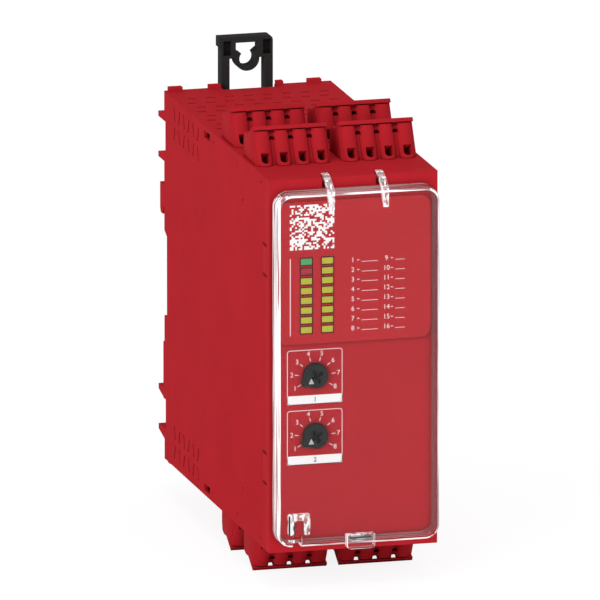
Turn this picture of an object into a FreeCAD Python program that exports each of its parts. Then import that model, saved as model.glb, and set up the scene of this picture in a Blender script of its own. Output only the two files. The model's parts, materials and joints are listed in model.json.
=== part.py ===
import FreeCAD, Part
import Sketcher
import math
import os

# Machine safety relay, 45 mm wide, for a TH35 mounting rail.
# Frame: X to the right, the front looks along -Y, Z up.  The origin is the middle of the rail seat:
# y = 0 is the plane the rail flanges rest on, z = 0 is the rail's centre line.  Millimetres.

V = FreeCAD.Vector
doc = FreeCAD.newDocument("SafetyRelay")
sheet = doc.addObject("Spreadsheet::Sheet", "Sizes")

SIZES = (
    # housing
    ("width", 45.0), ("height", 98.9), ("depth", 106.2), ("side_wall", 1.0), ("shell_wall", 1.2),
    ("rear_wall", 6.2), ("seam_depth", 3.5),
    # rail seat at the back, TH35 rail
    ("rail_width", 35.0), ("rail_thick", 1.0), ("rail_play", 0.6), ("seat_recess", 2.6),
    ("recess_half", 10.85), ("flange_lip", 1.2), ("scallop_in", 33.35), ("scallop_out", 41.35),
    ("scallop_deep", 1.2), ("hook_reach", 4.3), ("hook_grip", 1.45), ("hook_gap", 1.6),
    ("hook_rise", 6.65), ("hook_span", 11.0), ("tab_reach", 6.1), ("tab_thick", 1.4),
    ("tab_root", 2.8), ("tab_span", 4.0), ("bump_rise", 1.1), ("bump_deep", 2.0),
    # terminal bays, the same above and below
    ("bay_rib", 3.0), ("pole_count", 4.0), ("tier_front", 15.9), ("tier_pitch", 22.1),
    ("bay_length", 13.9), ("bay_depth", 12.0), ("bay_floor", 1.6), ("bay_wall", 1.2),
    ("plug_gap", 0.1), ("header_slot", 4.4), ("pin_size", 0.9), ("pin_rise", 6.5),
    ("header_plate", 1.0), ("socket_gap", 0.15),
    # terminal block profile: heights over the housing edge, lengths back from the foot of its face
    ("block_sink", 10.9), ("back_step", 3.85), ("back_high", 6.1),
    ("back_bevel", 0.5), ("crest_low", 6.8), ("crest_back", 2.0), ("ridge_back", 4.5),
    ("ridge_high", 9.6), ("ridge_run", 4.6), ("lip_drop", 0.9), ("lip_thick", 0.7),
    ("face_high", 8.2), ("column_radius", 2.9), ("column_out", 0.9),
    ("entry_width", 2.2), ("entry_high", 2.84), ("entry_deep", 7.0), ("entry_foot", 0.45),
    ("slot_width", 1.5), ("slot_high", 0.8), ("slot_drop", 1.35), ("test_high", 1.1),
    # vents
    ("slit_long", 3.5), ("slit_wide", 0.8), ("slit_lean", 0.55), ("slit_pitch", 4.8),
    ("slit_row", 5.2), ("slit_top", 4.0), ("slit_back", 10.5), ("slit_pairs", 3.0),
    ("vent_long", 2.4), ("vent_wide", 0.9), ("vent_deep", 0.6), ("vent_pitch", 5.0), ("vent_row", 5.1),
    ("vent_back", 10.9), ("vent_pairs", 4.0), ("mark_radius", 0.45),
    ("mark_deep", 0.4), ("mark_front", 4.8), ("mark_drop", 2.2), ("vent_shift", 1.3), ("window_long", 6.0), ("window_high", 1.8), ("window_drop", 1.3), ("window_front", 59.6),
    # front cap
    ("panel_thick", 1.8), ("cap_rail", 5.2), ("cap_wall", 1.0), ("tongue_wide", 8.0),
    ("tongue_long", 3.0), ("tongue_mid", 27.6), ("tongue_gap", 0.15),
    # label plate and lenses
    ("label_high", 37.7), ("label_base", 5.75), ("label_thick", 0.8),
    ("label_radius", 3.0), ("lens_wide", 3.15), ("lens_high", 1.87), ("lens_pitch", 2.6),
    ("lens_rows", 8.0), ("lens_step", 5.65), ("lens_left", 12.75), ("lens_top", 27.65),
    ("lens_gap", 0.05), ("lens_back", 1.0), ("lens_bar", 4.4),
    # rotary selectors
    ("knob_radius", 3.2), ("knob_rise", 1.5), ("knob_left", 10.2), ("knob_upper", 2.85),
    ("knob_lower", 18.85), ("knob_hole_gap", 0.2), ("knob_flange", 4.0), ("knob_flange_thick", 0.8),
    ("shaft_radius", 1.5), ("shaft_long", 4.0), ("shaft_gap", 0.05), ("cross_wide", 0.9),
    ("cross_long", 3.8), ("cross_deep", 0.9), ("nose_reach", 3.9), ("switch_size", 7.0),
    ("switch_deep", 4.0), ("rest_angle", 210.0),
    # clear cover
    ("cover_side", 0.9), ("cover_base", 2.6), ("cover_head", 2.9), ("cover_deep", 6.0),
    ("cover_gap", 0.3), ("cover_wall", 0.8), ("cover_front", 1.2), ("cover_radius", 3.8),
    ("cover_round", 0.9), ("arm_wide", 1.65), ("arm_out", 7.2),
    ("hinge_back", 1.3), ("hinge_drop", 0.85), ("knuckle_radius", 1.3), ("hinge_pin", 0.5),
    ("hinge_fit", 0.05), ("hinge_gap", 0.3), ("arm_crest", 1.05), ("hinge_swing", 0.6), ("grip_wide", 7.4), ("grip_shift", 0.8),
    ("grip_high", 1.6), ("seal_left", 4.0), ("seal_wide", 5.8), ("seal_high", 5.6),
    ("seal_base", 5.5), ("seal_gap", 2.3), ("seal_thick", 1.2),
    # rail latch and its spring
    ("latch_width", 13.9), ("loop_thick", 3.8), ("loop_corner", 1.2), ("latch_gap", 0.3), ("latch_travel", 3.0), ("loop_high", 13.1),
    ("loop_back", 4.0), ("strip_thick", 2.2), ("strip_deep", 0.4), ("leg_wide", 2.2),
    ("web_base", 7.4), ("ring_high", 7.2), ("ring_radius", 3.3), ("eye_radius", 2.1),
    ("eye_window", 3.05), ("eye_base", 8.6), ("eye_top", 11.55), ("pocket_wide", 2.1),
    ("pocket_high", 3.9), ("pocket_deep", 1.8), ("pocket_drop", 1.0), ("catch_grip", 1.3),
    ("catch_drop", 0.6), ("catch_thick", 1.6), ("catch_deep", 3.6), ("latch_root", 26.0),
    ("flange_wide", 0.55), ("flange_high", 2.7), ("spring_radius", 1.8), ("spring_wire", 0.4),
    ("spring_base", 2.0), ("spring_long", 12.0), ("spring_turns", 6.0), ("spring_gap", 0.3),
    # inside
    ("board_thick", 1.6), ("board_front", 8.0),
    ("board_rise", 34.5), ("relay_wide", 12.5), ("relay_high", 20.0),
    ("relay_long", 28.0), ("chip_size", 10.0), ("chip_thick", 1.2),
    ("can_radius", 5.0), ("can_long", 16.0), ("core_long", 18.0), ("core_high", 22.0),
    ("core_wide", 15.0), ("led_size", 1.4),
)


class Len:
    """A length: its value now, and the sheet expression that gives it."""

    def __init__(self, value, text):
        self.value = float(value)
        self.text = text

    @staticmethod
    def of(other):
        return other if isinstance(other, Len) else Len(other, repr(float(other)))

    def __add__(self, other):
        other = Len.of(other)
        return Len(self.value + other.value, "(%s + %s)" % (self.text, other.text))

    def __sub__(self, other):
        other = Len.of(other)
        return Len(self.value - other.value, "(%s - %s)" % (self.text, other.text))

    def __mul__(self, other):
        other = Len.of(other)
        return Len(self.value * other.value, "(%s * %s)" % (self.text, other.text))

    def __truediv__(self, other):
        other = Len.of(other)
        return Len(self.value / other.value, "(%s / %s)" % (self.text, other.text))

    def __neg__(self):
        return Len(-self.value, "(0 - %s)" % self.text)

    def __radd__(self, other):
        return Len.of(other) + self

    def __rsub__(self, other):
        return Len.of(other) - self

    def __rmul__(self, other):
        return Len.of(other) * self


class SizeTable:
    """The sheet's sizes by name, as lengths."""

    def __init__(self, rows):
        self.table = {}
        for row, (alias, value) in enumerate(rows, start=1):
            sheet.set("A%d" % row, alias)
            sheet.set("B%d" % row, "%g" % value)
            sheet.setAlias("B%d" % row, alias)
            self.table[alias] = Len(value, "Sizes." + alias)

    def __getattr__(self, alias):
        return self.table[alias]


S = SizeTable(SIZES)
doc.recompute()
ZERO = Len(0, "0")
PARTS = []


# ---- document helpers -------------------------------------------------------------------------

def bind(target, prop, length):
    """Set a property to a length and keep it tied to the sheet."""
    length = Len.of(length)
    if "." not in prop:
        setattr(target, prop, length.value)
    target.setExpression(prop, length.text)


def keep(item, label):
    """Mark a document object as one finished piece."""
    item.Label = label
    PARTS.append((label, item))
    return item


def new_body(name):
    made = doc.addObject("PartDesign::Body", name + "_body")
    doc.recompute()
    return made


def origin_of(owner, role):
    return [o for o in owner.Origin.OriginFeatures if o.Role == role][0]


def empty_sketch(owner, name, role, offset=None):
    drawn = owner.newObject("Sketcher::SketchObject", name)
    drawn.AttachmentSupport = [(origin_of(owner, role), "")]
    drawn.MapMode = "FlatFace"
    if offset is not None:
        offset = Len.of(offset)
        drawn.AttachmentOffset = FreeCAD.Placement(V(0, 0, offset.value), FreeCAD.Rotation())
        bind(drawn, "AttachmentOffset.Base.z", offset)
    return drawn


def pin_point(drawn, index, end, u, v):
    """Hold one end of a sketch line at (u, v) from the sketch's origin."""
    for kind, length in (("DistanceX", Len.of(u)), ("DistanceY", Len.of(v))):
        at = drawn.addConstraint(Sketcher.Constraint(kind, -1, 1, index, end, length.value))
        drawn.setExpression("Constraints[%d]" % at, length.text)


def add_loop(drawn, corners):
    """A closed outline of straight lines through the given corners."""
    first = drawn.GeometryCount
    count = len(corners)
    points = [V(Len.of(u).value, Len.of(v).value, 0) for u, v in corners]
    for k in range(count):
        drawn.addGeometry(Part.LineSegment(points[k], points[(k + 1) % count]))
    for k in range(count):
        drawn.addConstraint(Sketcher.Constraint("Coincident", first + k, 2, first + (k + 1) % count, 1))
    for k, (u, v) in enumerate(corners):
        pin_point(drawn, first + k, 1, u, v)


def add_circle(drawn, u, v, radius):
    u, v, radius = Len.of(u), Len.of(v), Len.of(radius)
    at = drawn.addGeometry(Part.Circle(V(u.value, v.value, 0), V(0, 0, 1), radius.value))
    pin_point(drawn, at, 3, u, v)
    held = drawn.addConstraint(Sketcher.Constraint("Radius", at, radius.value))
    drawn.setExpression("Constraints[%d]" % held, radius.text)


def sketch(owner, name, role, loops, offset=None, circles=()):
    drawn = empty_sketch(owner, name, role, offset)
    for corners in loops:
        add_loop(drawn, corners)
    for u, v, radius in circles:
        add_circle(drawn, u, v, radius)
    return drawn


def box_loop(u0, v0, u1, v1):
    return [(u0, v0), (u1, v0), (u1, v1), (u0, v1)]


def swept(owner, kind, name, drawn, length, both=False, back=False):
    made = owner.newObject(kind, name)
    made.Profile = drawn
    if both:
        made.SideType = "Symmetric"
    made.Reversed = back
    bind(made, "Length", length)
    owner.Tip = made
    doc.recompute()
    return made


def pad(owner, name, drawn, length, both=False, back=False):
    return swept(owner, "PartDesign::Pad", name, drawn, length, both, back)


def pocket(owner, name, drawn, length, both=False, back=False):
    return swept(owner, "PartDesign::Pocket", name, drawn, length, both, back)


def mirror(owner, name, originals, role):
    made = owner.newObject("PartDesign::Mirrored", name)
    made.Originals = originals
    made.MirrorPlane = (origin_of(owner, role), [""])
    owner.Tip = made
    doc.recompute()
    return made


def grid(owner, name, originals, role, count, pitch, back=False):
    """Copies of a feature in one row."""
    made = owner.newObject("PartDesign::LinearPattern", name)
    made.Originals = originals
    made.Direction = (origin_of(owner, role), [""])
    made.Mode = "Spacing"
    made.Reversed = back
    bind(made, "Offset", pitch)
    made.Occurrences = int(round(Len.of(count).value))
    made.setExpression("Occurrences", Len.of(count).text)
    owner.Tip = made
    doc.recompute()
    return made


def edge_names(shape, wanted):
    return ["Edge%d" % (k + 1) for k, edge in enumerate(shape.Edges) if wanted(edge)]


def runs_along(edge, axis):
    """True for a straight edge parallel to one axis."""
    if len(edge.Vertexes) != 2:
        return False
    span = edge.Vertexes[1].Point - edge.Vertexes[0].Point
    return span.Length > 1e-6 and abs(abs(span.normalize().dot(axis)) - 1) < 1e-6


def soften(owner, kind, name, base, edges, size):
    made = owner.newObject(kind, name)
    made.Base = (base, edges)
    bind(made, "Radius" if kind.endswith("Fillet") else "Size", size)
    owner.Tip = made
    doc.recompute()
    return made


# ---- shared places ----------------------------------------------------------------------------

FRONT = -S.depth                       # the housing's front plane
SEAM = FRONT + S.seam_depth            # where the front cap meets the shell
TOP = S.height / 2
HALF = S.width / 2
BAY_EDGE = HALF - S.side_wall          # outer side of a bay
BAY_WIDE = BAY_EDGE - S.bay_rib / 2
POLE_PITCH = BAY_WIDE / S.pole_count
BLOCK_LONG = S.bay_length - S.plug_gap * 3
COVER_WIDE = S.width - S.cover_side * 2
LABEL_WIDE = COVER_WIDE - (S.cover_wall + S.cover_gap) * 2
BAY_MID = BAY_EDGE - BAY_WIDE / 2
RAIL_EDGE = S.rail_width / 2
FLOOR = TOP - S.bay_depth
TIERS = (("front", FRONT + S.tier_front), ("rear", FRONT + S.tier_front + S.tier_pitch))
CHANNEL = S.latch_width / 2 + S.latch_gap
CHANNEL_DEEP = S.strip_deep + S.strip_thick + S.latch_gap
X_AXIS, Y_AXIS, Z_AXIS = V(1, 0, 0), V(0, 1, 0), V(0, 0, 1)


# ---- housing shell ----------------------------------------------------------------------------

def side_profile():
    """Outline of the shell seen from the side: y to the back, z up."""
    foot_step = RAIL_EDGE + S.rail_play
    return [
        (SEAM, -TOP), (ZERO, -TOP), (ZERO, -S.scallop_out), (-S.scallop_deep, -S.scallop_out),
        (-S.scallop_deep, -S.scallop_in), (S.flange_lip, -S.scallop_in), (S.flange_lip, -foot_step),
        (ZERO, -foot_step), (ZERO, -S.recess_half), (-S.seat_recess, -S.recess_half),
        (-S.seat_recess, S.recess_half), (ZERO, S.recess_half + S.flange_lip), (ZERO, S.scallop_in),
        (-S.scallop_deep, S.scallop_in), (-S.scallop_deep, S.scallop_out), (ZERO, S.scallop_out),
        (ZERO, TOP), (SEAM, TOP),
    ]


def cavity_profile():
    """Inside of the shell: it steps in under each terminal bay."""
    inner = TOP - S.shell_wall
    low = FLOOR - S.bay_floor
    half = [(SEAM - 1, inner)]
    for _, start in TIERS:
        near, far = start - S.bay_wall, start + S.bay_length + S.bay_wall
        half += [(near, inner), (near, low), (far, low), (far, inner)]
    half.append((-S.rear_wall, inner))
    return half + [(y, -z) for y, z in reversed(half)]


shell = new_body("housing_shell")
pad(shell, "ShellPad", sketch(shell, "ShellProfile", "YZ_Plane", [side_profile()]), S.width, both=True)
pocket(shell, "ShellCavity", sketch(shell, "CavityProfile", "YZ_Plane", [cavity_profile()]),
       S.width - S.side_wall * 2, both=True)

# terminal bays, open to the top, with a slot in each floor for the pin header
bays = [box_loop(BAY_MID * side - BAY_WIDE / 2, start, BAY_MID * side + BAY_WIDE / 2, start + S.bay_length)
        for _, start in TIERS for side in (-1, 1)]
bay_cut = pocket(shell, "BayCut", sketch(shell, "BayOutline", "XY_Plane", bays, TOP), S.bay_depth)
slot_half = BAY_WIDE / 2 - S.side_wall
slots = [box_loop(BAY_MID * side - slot_half, start + S.bay_length / 2 - S.header_slot / 2,
                  BAY_MID * side + slot_half, start + S.bay_length / 2 + S.header_slot / 2)
         for _, start in TIERS for side in (-1, 1)]
slot_cut = pocket(shell, "HeaderSlots", sketch(shell, "HeaderSlotOutline", "XY_Plane", slots, FLOOR),
                  S.bay_floor)
mirror(shell, "LowerBays", [bay_cut, slot_cut], "XY_Plane")

# latch channel down the middle of the back, and the seat of its spring
pocket(shell, "LatchChannel",
       sketch(shell, "ChannelOutline", "XZ_Plane",
              [box_loop(-CHANNEL, -(RAIL_EDGE + S.catch_drop + S.catch_deep + S.latch_travel + S.latch_gap),
                        CHANNEL, TOP)], CHANNEL_DEEP), CHANNEL_DEEP + S.hook_reach)
pocket(shell, "SpringSeat",
       sketch(shell, "SpringSeatOutline", "XZ_Plane",
              [box_loop(-(S.spring_radius + S.spring_gap), S.spring_base,
                        S.spring_radius + S.spring_gap, S.spring_base + S.spring_long + S.spring_gap)],
              CHANNEL_DEEP + S.spring_radius + S.spring_gap), S.spring_radius + S.spring_gap + 0.01)

# fixed hooks over the rail's upper edge, one at each side of the latch
hook_base = RAIL_EDGE - S.hook_grip
hook_top = hook_base + S.hook_rise + S.hook_grip
hook = pad(shell, "RailHook",
           sketch(shell, "HookProfile", "YZ_Plane",
                  [[(-0.5, RAIL_EDGE + S.rail_play), (S.hook_gap, RAIL_EDGE + S.rail_play),
                    (S.hook_gap, hook_base), (S.hook_reach - 0.7, hook_base),
                    (S.hook_reach, hook_base + 1.2), (S.hook_reach, hook_top), (-0.5, hook_top)]],
                  -HALF), S.hook_span)

# spacer tabs at the corners of the back
tab_tip = S.scallop_out + S.tab_thick
tabs = [
    [(-0.5, S.scallop_out), (S.tab_reach, S.scallop_out), (S.tab_reach, tab_tip),
     (ZERO, S.scallop_out + S.tab_root), (-0.5, S.scallop_out + S.tab_root)],
    [(-S.scallop_deep - 0.5, S.scallop_in), (-S.scallop_deep - 0.5, S.scallop_in - S.tab_root - 0.5),
     (ZERO, S.scallop_in - S.tab_root - 0.5), (ZERO, S.scallop_in - S.tab_root),
     (S.tab_reach, S.scallop_in - S.tab_root), (S.tab_reach, S.scallop_in - S.tab_root + S.tab_thick),
     (ZERO, S.scallop_in)],
]
low_tabs = [
    [(-0.5, -S.scallop_out), (S.tab_reach, -S.scallop_out), (S.tab_reach, -tab_tip),
     (ZERO, -S.scallop_out - S.tab_root), (-0.5, -S.scallop_out - S.tab_root)],
    [(ZERO, -S.scallop_in), (S.tab_reach, -S.scallop_in + S.tab_root - S.tab_thick),
     (S.tab_reach, -S.scallop_in + S.tab_root), (ZERO, -S.scallop_in + S.tab_root)],
]
tab = pad(shell, "SpacerTabs", sketch(shell, "TabProfile", "YZ_Plane", tabs + low_tabs, -HALF), S.tab_span)
mirror(shell, "FarHookAndTabs", [hook, tab], "YZ_Plane")

# small stops along the rear top and bottom edges
bump_spans = ((21.6, 18.0), (10.8, 7.6), (-9.2, -7.4), (-19.5, -15.9))
bumps = [box_loop(-Len.of(a), -S.bump_deep, -Len.of(b), ZERO) for a, b in bump_spans]
bump = pad(shell, "EdgeStops", sketch(shell, "StopOutline", "XY_Plane", bumps, TOP), S.bump_rise)
mirror(shell, "LowerEdgeStops", [bump], "XY_Plane")


# vents: leaning slits in both side walls, in a herringbone
def slit(y_mid, z_mid, lean):
    half, reach = S.slit_wide / 2, S.slit_long / 2
    return [(y_mid - lean - half, z_mid - reach), (y_mid - lean + half, z_mid - reach),
            (y_mid + lean + half, z_mid + reach), (y_mid + lean - half, z_mid + reach)]


row_one = TOP - S.slit_top
row_two = row_one - S.slit_row
slit_set = [slit(-S.slit_back, row_one, S.slit_lean), slit(-S.slit_back, row_two, -S.slit_lean),
            slit(-S.slit_back - S.slit_pitch, row_one, -S.slit_lean),
            slit(-S.slit_back - S.slit_pitch, row_two, S.slit_lean)]
slits = pocket(shell, "SideSlits", sketch(shell, "SlitOutline", "YZ_Plane", slit_set), S.width + 2, both=True)
slit_rows = grid(shell, "SlitRows", [slits], "Y_Axis", S.slit_pairs, S.slit_pitch * 2, back=True)
window_low = TOP - S.window_drop - S.window_high
window = pocket(shell, "SideWindow",
                sketch(shell, "WindowOutline", "YZ_Plane",
                       [box_loop(FRONT + S.window_front, window_low,
                                 FRONT + S.window_front + S.window_long, TOP - S.window_drop)]),
                S.width + 2, both=True)
low_set = [[(y, -z) for y, z in corners] for corners in slit_set]
low_slits = pocket(shell, "LowSlits", sketch(shell, "LowSlitOutline", "YZ_Plane", low_set),
                   S.width + 2, both=True)
grid(shell, "LowSlitRows", [low_slits], "Y_Axis", S.slit_pairs, S.slit_pitch * 2, back=True)
mirror(shell, "LowWindow", [window], "XY_Plane")

# staggered blind vents across the rear of the top and the bottom
def vent_line(y_mid, shift):
    half_x, half_y = S.vent_long / 2, S.vent_wide / 2
    mids = [S.vent_row * (k - 3.5) + shift for k in range(8)]
    return [box_loop(x - half_x, y_mid - half_y, x + half_x, y_mid + half_y) for x in mids]


vent_first = -S.vent_back
vents = pocket(shell, "TopVents",
               sketch(shell, "TopVentOutline", "XY_Plane",
                      vent_line(vent_first, ZERO) + vent_line(vent_first - S.vent_pitch, -S.vent_shift), TOP),
               S.vent_deep)
grid(shell, "TopVentRows", [vents], "Y_Axis", S.vent_pairs, S.vent_pitch * 2, back=True)
low_vents = pocket(shell, "BottomVents",
                   sketch(shell, "BottomVentOutline", "XY_Plane",
                          vent_line(vent_first, ZERO) + vent_line(vent_first - S.vent_pitch, -S.vent_shift),
                          -TOP), S.vent_deep, back=True)
grid(shell, "BottomVentRows", [low_vents], "Y_Axis", S.vent_pairs, S.vent_pitch * 2, back=True)


# ejector marks and small blind slits in the side walls
def ring_of(u, v, radius, count, turn=0.0):
    """Corners of a regular polygon."""
    return [(u + radius * math.cos(turn + 2 * math.pi * k / count),
             v + radius * math.sin(turn + 2 * math.pi * k / count)) for k in range(count)]


marks = []
for side in (-1, 1):
    marks += [ring_of(SEAM + S.mark_front, (TOP - S.mark_drop) * side, S.mark_radius, 6),
              ring_of(FRONT + S.tier_front + S.entry_deep * 1.5, (FLOOR + S.mark_radius * 2) * side,
                      S.mark_radius, 6)]
    for from_front, high in ((S.tier_front * 2, S.slit_wide * 2), (S.window_front - S.slit_long, S.slit_wide)):
        low, top = sorted(((TOP - S.mark_drop - high) * side, (TOP - S.mark_drop) * side),
                          key=lambda place: place.value)
        marks.append(box_loop(FRONT + from_front, low, FRONT + from_front + S.slit_wide / 2, top))
mark = pocket(shell, "SideMarks", sketch(shell, "SideMarkOutline", "YZ_Plane", marks, -HALF), S.mark_deep,
              back=True)
mirror(shell, "FarSideMarks", [mark], "YZ_Plane")

# notches that take the front cap's snap tongues
notch_half = S.tongue_wide / 2 + S.tongue_gap
notch = pocket(shell, "TongueNotches",
               sketch(shell, "NotchOutline", "YZ_Plane",
                      [box_loop(SEAM - 1, S.tongue_mid - notch_half, SEAM + S.tongue_long + S.tongue_gap,
                                S.tongue_mid + notch_half),
                       box_loop(SEAM - 1, -S.tongue_mid - notch_half, SEAM + S.tongue_long + S.tongue_gap,
                                -S.tongue_mid + notch_half)]), S.width + 2, both=True)
keep(shell, "housing_shell")


# ---- front cap --------------------------------------------------------------------------------

HINGE_Y = FRONT + S.hinge_back
HINGE_Z = TOP - S.hinge_drop
ARM_SLOT = S.arm_wide / 2 + S.hinge_gap
SLOT_REACH = S.knuckle_radius + S.hinge_swing

cap = new_body("front_panel")
pad(cap, "CapPad", sketch(cap, "CapOutline", "XZ_Plane", [box_loop(-HALF, -TOP, HALF, TOP)], -FRONT),
    S.seam_depth, back=True)
pocket(cap, "CapHollow",
       sketch(cap, "CapHollowOutline", "XZ_Plane",
              [box_loop(-(HALF - S.cap_wall), -(TOP - S.shell_wall), HALF - S.cap_wall, TOP - S.cap_rail)],
              -FRONT - S.panel_thick), S.seam_depth)

# snap tongues that reach back into the shell's notches
tongue_half = S.tongue_wide / 2
tongue = pad(cap, "SnapTongues",
             sketch(cap, "TongueOutline", "YZ_Plane",
                    [box_loop(SEAM - 0.5, S.tongue_mid - tongue_half, SEAM + S.tongue_long,
                              S.tongue_mid + tongue_half),
                     box_loop(SEAM - 0.5, -S.tongue_mid - tongue_half, SEAM + S.tongue_long,
                              -S.tongue_mid + tongue_half)], -HALF), S.cap_wall)
mirror(cap, "FarTongues", [tongue], "YZ_Plane")

# slots for the cover's two arms, each crossed by a hinge pin
arm_slots = [box_loop(S.arm_out * side - ARM_SLOT, HINGE_Z - SLOT_REACH, S.arm_out * side + ARM_SLOT, TOP + 1)
             for side in (-1, 1)]
pocket(cap, "ArmSlots", sketch(cap, "ArmSlotOutline", "XZ_Plane", arm_slots, -FRONT),
       S.hinge_back + SLOT_REACH)
pins = pad(cap, "HingePins",
           sketch(cap, "HingePinOutline", "YZ_Plane", [], S.arm_out - ARM_SLOT - 0.2,
                  circles=[(HINGE_Y, HINGE_Z, S.hinge_pin)]), ARM_SLOT * 2 + 0.4)
mirror(cap, "FarHingePin", [pins], "YZ_Plane")

# indicator windows and selector holes
COLUMNS = (-S.lens_left, -S.lens_left + S.lens_step)


def centred(x, z, wide, high):
    return box_loop(x - wide / 2, z - high / 2, x + wide / 2, z + high / 2)


window_row = [centred(x, S.lens_top, S.lens_wide, S.lens_high) for x in COLUMNS]
win = pocket(cap, "IndicatorWindow", sketch(cap, "WindowShape", "XZ_Plane", window_row, -FRONT),
             S.seam_depth)
grid(cap, "IndicatorWindows", [win], "Z_Axis", S.lens_rows, S.lens_pitch, back=True)
KNOBS = (("start", -S.knob_upper), ("function", -S.knob_lower))
knob_hole = S.knob_radius + S.knob_hole_gap
pocket(cap, "SelectorHoles",
       sketch(cap, "SelectorHoleOutline", "XZ_Plane", [], -FRONT,
              circles=[(-S.knob_left, z, knob_hole) for _, z in KNOBS]), S.panel_thick + 1)
keep(cap, "front_panel")

# raised label plate with its own indicator windows
plate = new_body("label_plate")
plate_pad = pad(plate, "PlatePad",
                sketch(plate, "PlateOutline", "XZ_Plane",
                       [box_loop(-LABEL_WIDE / 2, S.label_base, LABEL_WIDE / 2,
                                 S.label_base + S.label_high)], -FRONT), S.label_thick)
soften(plate, "PartDesign::Fillet", "PlateCorners", plate_pad,
       edge_names(plate_pad.Shape, lambda e: runs_along(e, Y_AXIS)), S.label_radius)
plate_win = pocket(plate, "PlateWindow",
                   sketch(plate, "PlateWindowShape", "XZ_Plane", window_row, -FRONT + S.label_thick),
                   S.label_thick * 2)
grid(plate, "PlateWindows", [plate_win], "Z_Axis", S.lens_rows, S.lens_pitch, back=True)
keep(plate, "label_plate")


# ---- indicator lenses: noses in the windows, joined by a bar behind the panel -------------------

def lens_comb(label, column, first, last):
    comb = new_body(label)
    x_mid = COLUMNS[column]
    top_z = S.lens_top - S.lens_pitch * first
    low_z = S.lens_top - S.lens_pitch * last
    reach = S.lens_pitch / 2 - S.lens_gap
    pad(comb, label + "_bar_pad",
        sketch(comb, label + "_bar", "XZ_Plane",
               [box_loop(x_mid - S.lens_bar / 2, low_z - reach, x_mid + S.lens_bar / 2, top_z + reach)],
               -FRONT - S.panel_thick), S.lens_back, back=True)
    half_x, half_z = S.lens_wide / 2 - S.lens_gap, S.lens_high / 2 - S.lens_gap
    nose = pad(comb, label + "_nose_pad",
               sketch(comb, label + "_nose", "XZ_Plane",
                      [box_loop(x_mid - half_x, top_z - half_z, x_mid + half_x, top_z + half_z)],
                      -FRONT - S.panel_thick), S.panel_thick + S.label_thick)
    if last > first:
        grid(comb, label + "_noses", [nose], "Z_Axis", last - first + 1, S.lens_pitch, back=True)
    keep(comb, label)


lens_comb("lens_power", 0, 0, 0)
lens_comb("lens_error", 0, 1, 1)
lens_comb("lens_left_row", 0, 2, 7)
lens_comb("lens_right_row", 1, 0, 7)


# ---- rotary selectors -------------------------------------------------------------------------

FLANGE_FRONT = S.panel_thick + S.cover_gap
SWITCH_FRONT = FLANGE_FRONT + S.knob_flange_thick + S.cover_gap


def placed(item, x, y, z, axis=None, angle=0.0):
    """Move a finished piece to its place and tie the place to the sheet."""
    spin = FreeCAD.Rotation(axis, angle) if axis is not None else FreeCAD.Rotation()
    x, y, z = Len.of(x), Len.of(y), Len.of(z)
    item.Placement = FreeCAD.Placement(V(x.value, y.value, z.value), spin)
    for part, length in (("x", x), ("y", y), ("z", z)):
        item.setExpression("Placement.Base." + part, length.text)
    return item


def selector_knob(label, z):
    """Screwdriver-set knob with a pointer nose; local y = 0 is the panel's face."""
    knob = new_body(label)
    pad(knob, label + "_head",
        sketch(knob, label + "_head_shape", "XZ_Plane", [], S.knob_rise,
               circles=[(ZERO, ZERO, S.knob_radius)]), S.knob_rise + FLANGE_FRONT + 0.1, back=True)
    side = S.knob_radius * 0.72
    pad(knob, label + "_nose",
        sketch(knob, label + "_nose_shape", "XZ_Plane",
               [[(S.knob_radius * 0.6, -side), (S.nose_reach, -0.5), (S.nose_reach, 0.5),
                 (S.knob_radius * 0.6, side)]], S.knob_rise), S.knob_rise - S.cover_gap, back=True)
    pad(knob, label + "_flange",
        sketch(knob, label + "_flange_shape", "XZ_Plane", [ring_of(ZERO, ZERO, S.knob_flange, 12)],
               -FLANGE_FRONT), S.knob_flange_thick, back=True)
    pad(knob, label + "_shaft",
        sketch(knob, label + "_shaft_shape", "XZ_Plane", [], -FLANGE_FRONT - S.knob_flange_thick,
               circles=[(ZERO, ZERO, S.shaft_radius)]), S.shaft_long, back=True)
    arm, half = S.cross_long / 2, S.cross_wide / 2
    cross = [(arm, half), (half, half), (half, arm), (-half, arm), (-half, half), (-arm, half),
             (-arm, -half), (-half, -half), (-half, -arm), (half, -arm), (half, -half), (arm, -half)]
    pocket(knob, label + "_cross",
           sketch(knob, label + "_cross_shape", "XZ_Plane", [cross], S.knob_rise), S.cross_deep)
    placed(knob, -S.knob_left, FRONT, z, Y_AXIS, -S.rest_angle.value)
    keep(knob, label)


def selector_switch(label, z):
    """Switch body on the display board, bored for the knob's shaft."""
    half = S.switch_size / 2
    case = new_body(label)
    pad(case, label + "_case",
        sketch(case, label + "_case_shape", "XZ_Plane",
               [box_loop(-half - S.lens_gap, -half, half + S.lens_gap, half)],
               -SWITCH_FRONT, circles=[(ZERO, ZERO, S.shaft_radius + S.shaft_gap)]),
        S.switch_deep, back=True)
    placed(case, -S.knob_left, FRONT, z)
    keep(case, label)


for name, z_mid in KNOBS:
    selector_knob(name + "_knob", z_mid)
    selector_switch(name + "_switch", z_mid)


# ---- clear cover ------------------------------------------------------------------------------

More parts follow.
